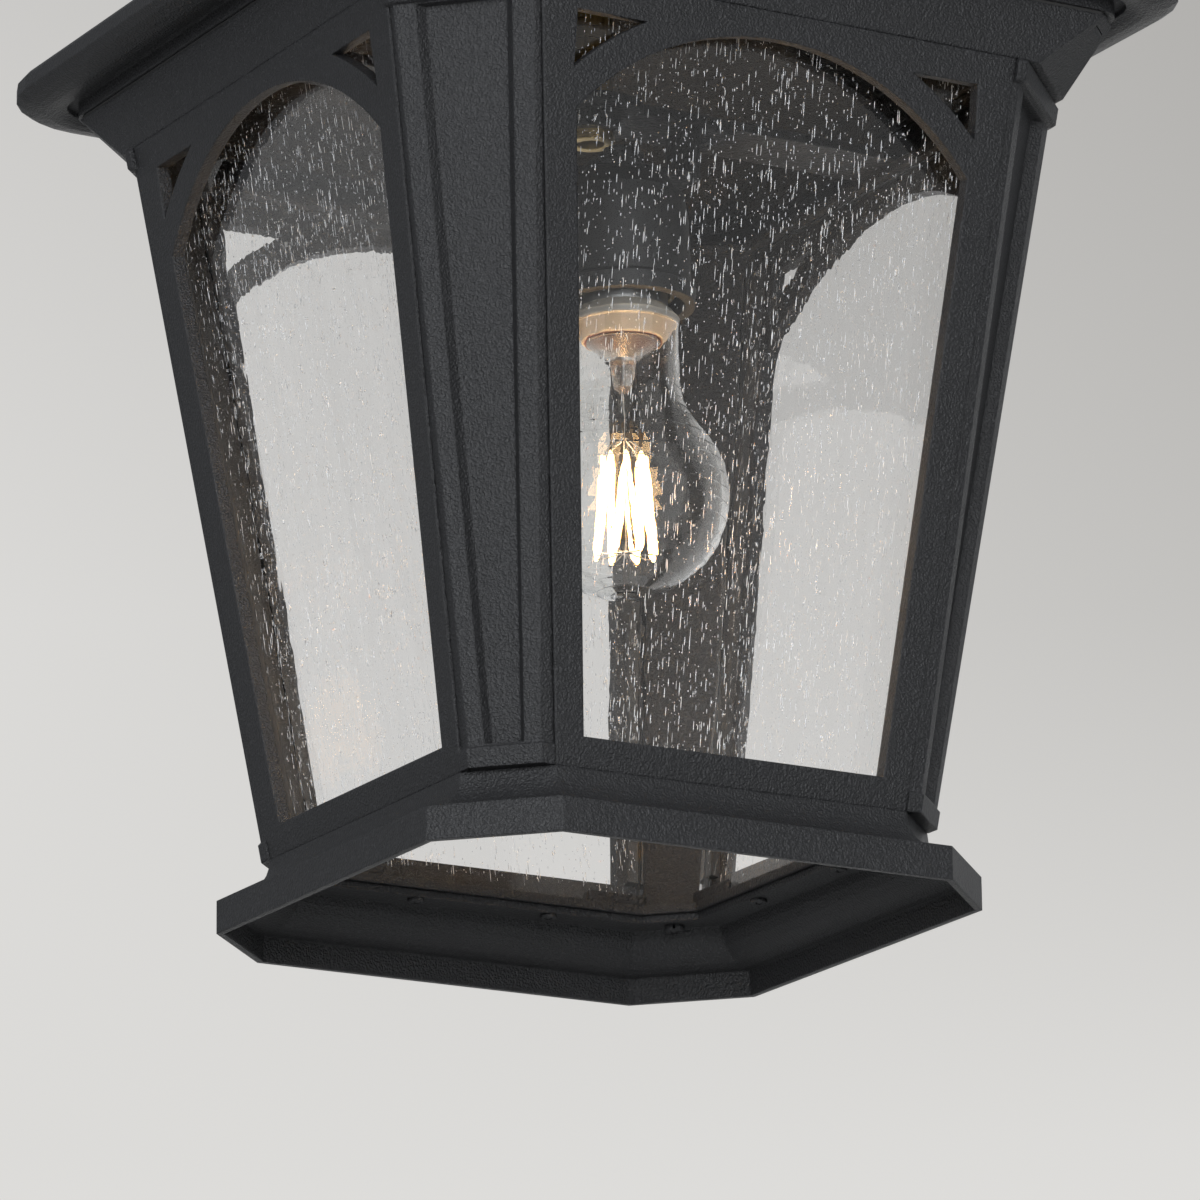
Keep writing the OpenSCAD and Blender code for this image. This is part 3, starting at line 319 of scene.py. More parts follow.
# streaks of a turned or drawn metal
def makeBrushing():
    group, given, out = newGroup(
        "brushing",
        [("Position", "NodeSocketVector", (0, 0, 0))],
        [("Streak", "NodeSocketFloat"), ("Blotch", "NodeSocketFloat")])
    position = given.outputs["Position"]
    stretch = feed(group, addNode(group, "ShaderNodeMapping"), Vector=position, Scale=brushLook["stretch"])
    streak = noiseNode(group, stretch.outputs[0], brushLook["streakScale"], brushLook["streakDetail"],
                       brushLook["streakRough"])
    blotch = noiseNode(group, position, brushLook["blotchScale"], brushLook["blotchDetail"])
    feed(group, out, Streak=streak, Blotch=rangeNode(group, blotch, *brushLook["blotches"]))
    return group


print("making the finishes")
coatGrain = makeCoatGrain()
edgeWearAndHighlight = makeEdgeWearAndHighlight()
brushing = makeBrushing()


# Finishes

def newMaterial(name):
    mat = bpy.data.materials.new(name)
    mat.use_nodes = True
    tree = mat.node_tree
    coord = addNode(tree, "ShaderNodeTexCoord")
    return mat, tree, tree.nodes["Principled BSDF"], coord.outputs["Object"]


def placeGroup(tree, group, position, **values):
    node = addNode(tree, "ShaderNodeGroup", node_tree=group)
    return feed(tree, node, Position=position, **values)


def bumpNode(tree, height, strength, distance, normal=None):
    node = feed(tree, addNode(tree, "ShaderNodeBump"), Strength=strength, Distance=distance, Height=height)
    if normal:
        tree.links.new(normal, node.inputs["Normal"])
    return node.outputs["Normal"]


def tinted(colour, factor):
    return tuple(min(1, v * factor) for v in colour)


# the roughness drifts with a mask by the look's two steps, and the grain is a bump over softened edges
def finishSurface(tree, shader, base, mask, height, edge, rough, look):
    low, high = look["steps"]
    feed(tree, shader, Base_Color=base,
         Roughness=rangeNode(tree, mask, *look["drift"], rough + low, rough + high),
         Normal=bumpNode(tree, height, look["bump"], look["depth"], edge.outputs["Normal"]))


coatLook = {
    "edge": 0.0011, "cloud": 1.25, "specks": 0.65, "wornAndHighlit": 1.6, "shine": 0.4, "drift": (0, 1),
    "steps": (-0.04, 0.05), "depth": 0.0004,
}


def powderCoat(name, dark, pale, rough, scale, wearAndHighlight, bump=1.0):
    mat, tree, shader, position = newMaterial(name)
    grain = placeGroup(tree, coatGrain, position, Scale=scale)
    edge = placeGroup(tree, edgeWearAndHighlight, position, Amount=wearAndHighlight, Radius=coatLook["edge"])
    cloud = grain.outputs["Cloud"]
    base = mixColour(tree, cloud, dark, tinted(dark, coatLook["cloud"]))
    base = mixColour(tree, mathNode(tree, "MULTIPLY", grain.outputs["Specks"], coatLook["specks"]), base, pale)
    base = mixColour(tree, edge.outputs["Mask"], base, tinted(pale, coatLook["wornAndHighlit"]))
    finishSurface(tree, shader, base, cloud, grain.outputs["Height"], edge, rough, {**coatLook, "bump": bump})
    feed(tree, shader, Specular_IOR_Level=coatLook["shine"])
    return mat


metalLook = {
    "wearAndHighlight": 0.3, "stain": 0.5, "wornAndHighlit": 1.2, "drift": (0.3, 0.7), "steps": (-0.08, 0.1),
    "bump": 0.2, "depth": 0.00008,
}


def metal(name, colour, stain, rough):
    mat, tree, shader, position = newMaterial(name)
    brush = placeGroup(tree, brushing, position)
    edge = placeGroup(tree, edgeWearAndHighlight, position, Amount=metalLook["wearAndHighlight"])
    streak = brush.outputs["Streak"]
    stained = mathNode(tree, "MULTIPLY", brush.outputs["Blotch"], metalLook["stain"])
    base = mixColour(tree, stained, colour, stain)
    base = mixColour(tree, edge.outputs["Mask"], base, tinted(colour, metalLook["wornAndHighlit"]))
    finishSurface(tree, shader, base, streak, streak, edge, rough, metalLook)
    feed(tree, shader, Metallic=1)
    return mat


mouldedLook = {
    "scale": 700.0, "wearAndHighlight": 0.2, "wornAndHighlit": 1.5, "drift": (0, 1), "steps": (-0.05, 0.06),
    "bump": 0.12, "depth": 0.0001,
}


def moulded(name, colour, tint, rough):
    mat, tree, shader, position = newMaterial(name)
    grain = placeGroup(tree, coatGrain, position, Scale=mouldedLook["scale"])
    edge = placeGroup(tree, edgeWearAndHighlight, position, Amount=mouldedLook["wearAndHighlight"])
    cloud = grain.outputs["Cloud"]
    base = mixColour(tree, cloud, colour, tint)
    base = mixColour(tree, edge.outputs["Mask"], base, tinted(tint, mouldedLook["wornAndHighlit"]))
    finishSurface(tree, shader, base, cloud, grain.outputs["Height"], edge, rough, mouldedLook)
    return mat


# the bore's radius and the width of its fade are in metres; inside that radius the collar takes painted shade
collar = {
    "band": (0.22, 0.205, 0.18), "rimHighlight": (0.80, 0.70, 0.52), "boreShade": (0.13, 0.045, 0.03), "bore": 0.0118,
    "fade": 0.0003, "scale": 700.0, "wearAndHighlight": 1.0, "edge": 0.0012, "cloud": 0.86, "rough": 0.3, "drift": (0, 1),
    "steps": (0, 0.12), "bump": 0.1, "depth": 0.0001,
}


# fired collar of the lamp: a pale painted highlight along the rim, a darker band and painted shade, dark red-brown,
# inside the bore
def firedCollar():
    mat, tree, shader, position = newMaterial("firedCollar")
    grain = placeGroup(tree, coatGrain, position, Scale=collar["scale"])
    edge = placeGroup(tree, edgeWearAndHighlight, position, Amount=collar["wearAndHighlight"], Radius=collar["edge"])
    middle = addNode(tree, "ShaderNodeMapping")
    feed(tree, middle, Vector=position, Location=(-lampAxis.x, -lampAxis.y, 0))
    flat = addNode(tree, "ShaderNodeVectorMath", operation="MULTIPLY")
    flat.inputs[1].default_value = (1, 1, 0)
    tree.links.new(middle.outputs[0], flat.inputs[0])
    away = addNode(tree, "ShaderNodeVectorMath", operation="LENGTH")
    tree.links.new(flat.outputs[0], away.inputs[0])
    bore = rangeNode(tree, away.outputs["Value"], collar["bore"] - collar["fade"], collar["bore"], 1.0, 0.0)
    cloud = grain.outputs["Cloud"]
    base = mixColour(tree, cloud, collar["band"], tinted(collar["band"], collar["cloud"]))
    # the rim's pale colour on the outward edges is a painted highlight
    base = mixColour(tree, edge.outputs["Mask"], base, collar["rimHighlight"])
    # the dark red-brown inside the bore is painted shade of the hollow
    base = mixColour(tree, bore, base, collar["boreShade"])
    finishSurface(tree, shader, base, cloud, grain.outputs["Height"], edge, collar["rough"], collar)
    return mat


# glass lets light through to what is behind it, so its shadow is nearly clear
def letLightThrough(tree, shader, clear):
    shadow = addNode(tree, "ShaderNodeLightPath").outputs["Is Shadow Ray"]
    through = feed(tree, addNode(tree, "ShaderNodeBsdfTransparent"), Color=(*clear, 1))
    surface = mixShader(tree, shadow, shader.outputs[0], through.outputs[0])
    feed(tree, tree.nodes["Material Output"], Surface=surface)


glassLook = {
    "stretch": (1, 1, 0.25), "slowScale": 30, "drawnScale": 170, "detail": 2, "drawnWeight": 0.12,
    "tint": 0.985, "shadow": 0.97, "depth": 0.001,
}


def glass(name, colour, ripple, rough, ior):
    mat, tree, shader, position = newMaterial(name)
    stretch = feed(tree, addNode(tree, "ShaderNodeMapping"), Vector=position, Scale=glassLook["stretch"])
    slow = noiseNode(tree, stretch.outputs[0], glassLook["slowScale"], glassLook["detail"])
    drawn = noiseNode(tree, stretch.outputs[0], glassLook["drawnScale"], glassLook["detail"])
    height = mathNode(tree, "ADD", slow, mathNode(tree, "MULTIPLY", drawn, glassLook["drawnWeight"]))
    feed(tree, shader, Transmission_Weight=1, IOR=ior, Roughness=rough,
         Base_Color=mixColour(tree, slow, colour, tinted(colour, glassLook["tint"])),
         Normal=bumpNode(tree, height, ripple, glassLook["depth"]))
    letLightThrough(tree, shader, tinted(colour, glassLook["shadow"]))
    return mat


seedLook = {
    "clear": 0.75, "ior": 1.3, "cool": (0.88, 0.90, 0.93), "pale": (0.97, 0.97, 0.97), "cloudScale": 240,
    "cloudDetail": 2, "clouds": (0.3, 0.7), "rough": (0.12, 0.4), "shadow": (0.9, 0.9, 0.9),
}


# drawn air seeds catch the light, so they show pale on dark and faint on bright
def seedInGlass():
    mat, tree, shader, position = newMaterial("drawnSeed")
    cloud = noiseNode(tree, position, seedLook["cloudScale"], seedLook["cloudDetail"])
    feed(tree, shader, Transmission_Weight=seedLook["clear"], IOR=seedLook["ior"],
         Base_Color=mixColour(tree, cloud, seedLook["cool"], seedLook["pale"]),
         Roughness=rangeNode(tree, cloud, *seedLook["clouds"], *seedLook["rough"]))
    letLightThrough(tree, shader, seedLook["shadow"])
    return mat


glowLook = {
    "dotScale": 900, "dotDetail": 2, "dots": (0.35, 0.65), "deep": (1.0, 0.42, 0.09), "bright": (1.0, 0.66, 0.26),
    "strength": 14, "mirrored": 1.5, "rough": 0.5,
}


# the wire glows at full strength to the eye and faintly in mirror images of it
def filamentGlowing():
    mat, tree, shader, position = newMaterial("filamentCoating")
    dots = noiseNode(tree, position, glowLook["dotScale"], glowLook["dotDetail"])
    warm = mixColour(tree, rangeNode(tree, dots, *glowLook["dots"]), glowLook["deep"], glowLook["bright"])
    feed(tree, shader, Base_Color=warm, Emission_Color=warm, Emission_Strength=glowLook["strength"],
         Roughness=glowLook["rough"])
    faint = feed(tree, addNode(tree, "ShaderNodeEmission"), Color=warm, Strength=glowLook["mirrored"])
    path = addNode(tree, "ShaderNodeLightPath")
    mirrored = mathNode(tree, "GREATER_THAN", path.outputs["Glossy Depth"], 0.5)
    surface = mixShader(tree, mirrored, shader.outputs[0], faint.outputs[0])
    feed(tree, tree.nodes["Material Output"], Surface=surface)
    return mat


finishes = {
    "seed": seedInGlass(),
    "black_powder_coat": powderCoat(
        "blackPowderCoat", (0.014, 0.014, 0.0148), (0.05, 0.05, 0.053), rough=0.48, scale=1400.0, wearAndHighlight=0.3,
        bump=1.6),
    "black_steel": powderCoat(
        "blackSteel", (0.012, 0.012, 0.0125), (0.05, 0.05, 0.05), rough=0.42, scale=700.0, wearAndHighlight=0.4),
    "seeded_glass": glass("seededGlass", (0.995, 0.996, 0.997), ripple=0.35, rough=0.0, ior=1.4),
    "lamp_glass": glass("lampGlass", (0.985, 0.99, 0.985), ripple=0.05, rough=0.0, ior=1.45),
    "stem": glass("stemGlass", (0.95, 0.93, 0.90), ripple=0.3, rough=0.22, ior=1.5),
    "brass": metal("turnedBrass", (0.68, 0.50, 0.22), (0.46, 0.33, 0.15), 0.32),
    "zinc_steel": metal("zincSteel", (0.56, 0.56, 0.55), (0.40, 0.40, 0.41), 0.36),
    "black_rubber": moulded("softRubber", (0.016, 0.016, 0.016), (0.028, 0.027, 0.026), 0.75),
    "black_bakelite": moulded("mouldedBlack", (0.006, 0.006, 0.0062), (0.009, 0.009, 0.0092), 0.6),
    "white_plastic": moulded("mouldedWhite", (0.76, 0.75, 0.71), (0.70, 0.685, 0.64), 0.4),
    "ivory_ceramic": firedCollar(),
    "filament": filamentGlowing(),
}

print("placing camera, light and floor")
bpy.context.scene.view_settings.view_transform = "Standard"
placeCamera()
makeWorld()
addLights()
layFloor()


# Geometry Nodes helpers

# a tree that takes some geometry, named numbers and a finish
def newTree(name, given, numbers):
    tree = bpy.data.node_groups.new(name, "GeometryNodeTree")
    tree.interface.new_socket("Geometry", in_out="OUTPUT", socket_type="NodeSocketGeometry")
    tree.interface.new_socket(given, in_out="INPUT", socket_type="NodeSocketGeometry")
    for label, kind, value in numbers:
        socket = tree.interface.new_socket(label, in_out="INPUT", socket_type=kind)
        if value is not None:
            socket.default_value = value
    tree.interface.new_socket("Material", in_out="INPUT", socket_type="NodeSocketMaterial")
    return tree, tree.nodes.new("NodeGroupInput"), tree.nodes.new("NodeGroupOutput")


# a random number for each point, between two values that may be sockets; a float draw has them at 2 and 3
def randomFloat(tree, low, high, seed):
    node = feed(tree, addNode(tree, "FunctionNodeRandomValue", data_type="FLOAT"), Seed=seed)
    for socket, value in ((node.inputs[2], low), (node.inputs[3], high)):
        if isinstance(value, float):
            socket.default_value = value
        else:
            tree.links.new(value, socket)
    return node.outputs[1]


def smoothed(tree, geometry):
    return feed(tree, addNode(tree, "GeometryNodeSetShadeSmooth"), Geometry=geometry).outputs[0]


# joined and set in its finish, with every copy made real
def closeTree(tree, given, out, geometry):
    real = feed(tree, addNode(tree, "GeometryNodeRealizeInstances"), Geometry=geometry)
    dress = addNode(tree, "GeometryNodeSetMaterial")
    feed(tree, dress, Geometry=real.outputs[0], Material=given.outputs["Material"])
    feed(tree, out, Geometry=dress.outputs[0])


# runs a tree on some points, edges or faces and keeps the plain mesh it makes
def grow(name, tree, verts, edges, faces, material, values):
    seed = bpy.data.meshes.new(name + "Seed")
    seed.from_pydata(verts, edges, faces)
    obj = addObject(name, seed)
    modifier = obj.modifiers.new("tree", "NODES")
    modifier.node_group = tree
    sockets = {item.name: item.identifier for item in tree.interface.items_tree if item.in_out == "INPUT"}
    for label, value in values.items():
        modifier[sockets[label]] = value
    modifier[sockets["Material"]] = material
    bpy.context.view_layer.update()
    made = obj.evaluated_get(bpy.context.evaluated_depsgraph_get())
    mesh = bpy.data.meshes.new_from_object(made)
    obj.modifiers.remove(modifier)
    obj.data = mesh
    mesh.materials.clear()
    mesh.materials.append(material)
    for face in mesh.polygons:
        face.material_index = 0
    return obj


# turns every closed shell's faces to point outwards
def outward(mesh):
    bm = bmesh.new()
    bm.from_mesh(mesh)
    bmesh.ops.recalc_face_normals(bm, faces=bm.faces)
    bm.to_mesh(mesh)
    bm.free()


# Seeded glass: each pane is a slab with drawn air seeds inside

# most seeds are short: a draw from 0 to 1 is raised to the steepness before it becomes a length;
# the sheet's corners are drawn in by the inset times the slant
seeds = {
    "perSquareMetre": 300000, "short": 0.3, "long": 5.0, "thin": 0.07, "wide": 0.17, "inset": 2.5, "slant": 1.6,
    "margin": 0.2, "steepness": 4.0, "sides": 4, "patchScale": 26.0, "patchDetail": 2.0,
    "patches": (0.32, 0.62, 0.25, 1.0), "start": 11, "depthDraw": 0, "lengthDraw": 5, "girthDraw": 9,
}

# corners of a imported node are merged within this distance, and flat faces joined within this angle
mergeWithin = 0.000005
flatWithin = 0.01


def seedTree():
    tree, given, out = newTree("glassSeeds", "Sheet", [
        ("Density", "NodeSocketFloat", 90000.0), ("Short", "NodeSocketFloat", 0.0009),
        ("Long", "NodeSocketFloat", 0.006), ("Thin", "NodeSocketFloat", 0.0002),
        ("Wide", "NodeSocketFloat", 0.0004), ("Across", "NodeSocketVector", None),
        ("Turn", "NodeSocketVector", None), ("Seed", "NodeSocketInt", 1)])
    patches = addNode(tree, "ShaderNodeTexNoise")
    feed(tree, patches, Scale=seeds["patchScale"], Detail=seeds["patchDetail"])
    thick = rangeNode(tree, patches.outputs["Fac"], *seeds["patches"])
    density = mathNode(tree, "MULTIPLY", thick, given.outputs["Density"])
    spread = addNode(tree, "GeometryNodeDistributePointsOnFaces")
    feed(tree, spread, Mesh=given.outputs["Sheet"], Density=density, Seed=given.outputs["Seed"])
    shift = addNode(tree, "ShaderNodeVectorMath", operation="SCALE")
    tree.links.new(given.outputs["Across"], shift.inputs[0])
    feed(tree, shift, Scale=randomFloat(tree, -1.0, 1.0, seeds["depthDraw"]))
    place = addNode(tree, "GeometryNodeSetPosition")
    feed(tree, place, Geometry=spread.outputs["Points"], Offset=shift.outputs[0])
    steep = mathNode(tree, "POWER", randomFloat(tree, 0.0, 1.0, seeds["lengthDraw"]), seeds["steepness"])
    length = rangeNode(tree, steep, 0.0, 1.0, given.outputs["Short"], given.outputs["Long"])
    girth = randomFloat(tree, given.outputs["Thin"], given.outputs["Wide"], seeds["girthDraw"])
    tall = mathNode(tree, "MAXIMUM", mathNode(tree, "MULTIPLY", length, 0.5), girth)
    size = feed(tree, addNode(tree, "ShaderNodeCombineXYZ"), X=girth, Y=girth, Z=tall)
    ball = addNode(tree, "GeometryNodeMeshUVSphere")
    feed(tree, ball, Segments=seeds["sides"], Rings=seeds["sides"], Radius=1.0)
    copies = addNode(tree, "GeometryNodeInstanceOnPoints")
    feed(tree, copies, Points=place.outputs[0], Instance=ball.outputs["Mesh"], Rotation=given.outputs["Turn"],
         Scale=size.outputs[0])
    closeTree(tree, given, out, smoothed(tree, copies.outputs[0]))
    return tree


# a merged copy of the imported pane, the corners of its two broad faces and the way they face
def slabOf(node):
    bm = bmesh.new()
    bm.from_mesh(node.data)
    bmesh.ops.remove_doubles(bm, verts=bm.verts, dist=mergeWithin)
    bmesh.ops.dissolve_limit(bm, angle_limit=flatWithin, verts=bm.verts, edges=bm.edges)
    bmesh.ops.recalc_face_normals(bm, faces=bm.faces)
    broad = sorted(bm.faces, key=lambda face: -face.calc_area())[:2]
    sides = [[v.co.copy() for v in face.verts] for face in broad]
    normal = broad[0].normal.copy()
    return bm, sides, normal


# adds the slab's faces to the mesh of seeds, in the second finish
def addSlab(obj, side, bm):
    slab = bpy.data.meshes.new("slab_" + side)
    bm.to_mesh(slab)
    bm.free()
    obj.data.materials.append(finishes["seeded_glass"])
    both = bmesh.new()
    both.from_mesh(obj.data)
    drawn = len(both.faces)
    both.from_mesh(slab)
    for index, face in enumerate(both.faces):
        face.material_index = 0 if index < drawn else 1
    both.to_mesh(obj.data)
    both.free()


def makePanes():
    tree = seedTree()
    for k, side in enumerate(("front", "right", "back", "left")):
        bm, (outer, inner), normal = slabOf(nodes["pane_" + side])
        middle = [(p + min(inner, key=lambda q: (q - p).length)) / 2 for p in outer]
        thickness = abs((outer[0] - inner[0]).dot(normal))
        centre = sum(middle, Vector()) / len(middle)
        sheet = [p + (centre - p).normalized() * seeds["inset"] * seeds["slant"] / 1000 for p in middle]
        lean = math.asin(abs(normal.z))
        reach = thickness / 2 - seeds["wide"] / 1000 - seeds["margin"] / 1000
        obj = grow("seededPane_" + side, tree, sheet, [], [tuple(range(len(sheet)))], finishes["seed"], {
            "Density": float(seeds["perSquareMetre"]), "Short": seeds["short"] / 1000, "Long": seeds["long"] / 1000,
            "Thin": seeds["thin"] / 1000, "Wide": seeds["wide"] / 1000, "Across": tuple(normal * reach),
            "Turn": (lean, 0.0, math.pi / 2 * k), "Seed": seeds["start"] + k})
        addSlab(obj, side, bm)
        print("seeded pane", side, len(obj.data.polygons), "faces")
        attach(obj, "lantern")
        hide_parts("pane_" + side)


# Chain: each link is wire drawn round an oval, a little thicker where it is welded

# the weld's swelling is a part of the wire's radius
chainLinks = {
    "count": 4, "wire": 2.2, "bend": 9.0, "straight": 16.0, "weld": 0.09, "weldLong": 2.6,
    "corner": 20, "along": 8, "round": 16,
}


def wireTree():
    tree, given, out = newTree("drawnWire", "Path", [
        ("Wire", "NodeSocketFloat", 0.0022), ("Round", "NodeSocketInt", 16), ("Weld", "NodeSocketFloat", 0.1),
        ("Weld Long", "NodeSocketFloat", 0.003), ("Weld At", "NodeSocketVector", None)])
    curve = feed(tree, addNode(tree, "GeometryNodeMeshToCurve"), Mesh=given.outputs["Path"])
    ring = addNode(tree, "GeometryNodeCurvePrimitiveCircle")
    feed(tree, ring, Resolution=given.outputs["Round"], Radius=given.outputs["Wire"])
    here = addNode(tree, "GeometryNodeInputPosition")
    far = addNode(tree, "ShaderNodeVectorMath", operation="DISTANCE")
    tree.links.new(here.outputs[0], far.inputs[0])
    tree.links.new(given.outputs["Weld At"], far.inputs[1])
    swell = addNode(tree, "ShaderNodeMapRange", interpolation_type="SMOOTHSTEP")
    feed(tree, swell, Value=far.outputs["Value"], From_Min=0.0, From_Max=given.outputs["Weld Long"],
         To_Min=given.outputs["Weld"], To_Max=0.0)
    thick = mathNode(tree, "ADD", swell.outputs["Result"], 1.0)
    wire = addNode(tree, "GeometryNodeCurveToMesh")
    feed(tree, wire, Curve=curve.outputs[0], Profile_Curve=ring.outputs[0], Scale=thick, Fill_Caps=True)
    closeTree(tree, given, out, smoothed(tree, wire.outputs[0]))
    return tree


# the wire's middle line, in the link's own plane
def linkLine():
    bend, half = chainLinks["bend"] / 1000, chainLinks["straight"] / 2000
    corner, along = chainLinks["corner"], chainLinks["along"]
    line = []
    for side in (1, -1):
        for k in range(corner + 1):
            turn = math.pi * k / corner
            line.append((side * bend * math.cos(turn), side * (half + bend * math.sin(turn))))
        for k in range(1, along):
            line.append((-side * bend, side * (half - 2 * half * k / along)))
    return line


def makeChain(tree):
    line = linkLine()
    for k in range(1, chainLinks["count"] + 1):
        node = "chain_link_%d" % k
        linkLow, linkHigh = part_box(node)
        middle = (linkLow + linkHigh) / 2
        alongX = linkHigh.x - linkLow.x > linkHigh.y - linkLow.y
        across = Vector((1, 0, 0)) if alongX else Vector((0, 1, 0))
        path = [middle + across * u + Vector((0, 0, v)) for u, v in line]
        edges = [(i, (i + 1) % len(path)) for i in range(len(path))]
        weld = middle + across * (chainLinks["bend"] / 1000)
        obj = grow("chainLink_%d" % k, tree, path, edges, [], finishes["black_steel"], {
            "Wire": chainLinks["wire"] / 1000, "Round": chainLinks["round"], "Weld": chainLinks["weld"],
            "Weld Long": chainLinks["weldLong"] / 1000, "Weld At": tuple(weld)})
        outward(obj.data)
        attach(obj, "link_%d" % k)
        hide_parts(node)


# Filament: one wire that waves up and down around the lamp's axis, on hooks from the glass stem

# low and high are the wave's radius at its lower and its upper turns
filament = {
    "waves": 8, "wire": 0.62, "low": 8.8, "high": 6.2, "edge": 0.6, "steps": 18, "turn": 20.0, "round": 8,
}

# a hook leaves the stem above or below its turn of the wave and bends near its tip
hooks = {
    "wire": 0.22, "round": 6, "foot": 0.5, "bendAt": 0.75, "upperRise": 6.0, "lowerRise": 1.2, "upperBend": 1.4,
    "lowerBend": -0.4,
}


def wavePoint(turn, reach):
    low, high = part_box("lamp_filaments")
    radius = (filament["low"] + (filament["high"] - filament["low"]) * reach) / 1000
    edge = filament["edge"] / 1000
    z = low.z + edge + (high.z - low.z - 2 * edge) * reach
    return lampAxis + Vector((radius * math.cos(turn), radius * math.sin(turn), z))


def makeFilament(tree):
    count = filament["waves"] * filament["steps"]
    first = math.radians(filament["turn"])
    wave = []
    for k in range(count):
        turn = 2 * math.pi * k / count
        wave.append(wavePoint(first + turn, 0.5 + 0.5 * math.cos(filament["waves"] * turn)))
    values = {
        "Wire": filament["wire"] / 1000, "Round": filament["round"], "Weld": 0.0, "Weld Long": 0.001,
        "Weld At": (0, 0, 0),
    }
    edges = [(k, (k + 1) % count) for k in range(count)]
    obj = grow("filamentWave", tree, wave, edges, [], finishes["filament"], values)
    outward(obj.data)
    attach(obj, "lamp")
    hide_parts("lamp_filaments")

    low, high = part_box("lamp_supports")
    foot = lampAxis + Vector((0, 0, low.z + hooks["foot"] / 1000))
    head = lampAxis + Vector((0, 0, high.z))
    points, edges = [foot, head], [(0, 1)]
    for k in range(filament["waves"] * 2):
        place = "upper" if k % 2 == 0 else "lower"
        tip = wavePoint(first + math.pi * k / filament["waves"], 1.0 if place == "upper" else 0.0)
        root = Vector((lampAxis.x, lampAxis.y, tip.z + hooks[place + "Rise"] / 1000))
        bend = root.lerp(tip, hooks["bendAt"]) + Vector((0, 0, hooks[place + "Bend"] / 1000))
        points += [root, bend, tip]
        edges += [(len(points) - 3, len(points) - 2), (len(points) - 2, len(points) - 1)]
    values.update({"Wire": hooks["wire"] / 1000, "Round": hooks["round"]})
    obj = grow("filamentHooks", tree, points, edges, [], finishes[slotOf["lamp_supports"]], values)
    outward(obj.data)
    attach(obj, "lamp")
    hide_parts("lamp_supports")


# Screws: domed heads with a cross recess, turned at random as they were driven

# dome and slot depth are parts of the head's height, slot width and length are parts of its radius
screwHeads = {
    "dome": 0.34, "slotWide": 0.26, "slotLong": 1.25, "slotDeep": 0.6, "round": 28, "rings": 56, "shankRound": 20,
    "overlap": 0.0003, "crisp": 35.0, "start": 3,
}

screwNodes = ("foot_screws", "ledge_screws", "head_screws", "crossbar_screws", "saddle_screws", "earth_screw",
              "bracket_earth_screw")

# screws that were coated together with the cage
coatedScrews = ("foot_screws", "ledge_screws")

# plain steel parts that are blackened, because they show through the glass
blackened = ("crossbar", "crossbar_screws", "holder_saddle", "saddle_screws", "hanger_nut", "nipple_nut",
             "holder_nipple")

# a corner this near to an end belongs to it, and one beyond this part of the width belongs to the head
endWithin = 0.0002
headFrom = 0.9


# a closed primitive of the tree, moved to its place
def placed(tree, shape, middle):
    moved = addNode(tree, "GeometryNodeTransform")
    return feed(tree, moved, Geometry=shape.outputs["Mesh"], Translation=middle).outputs[0]


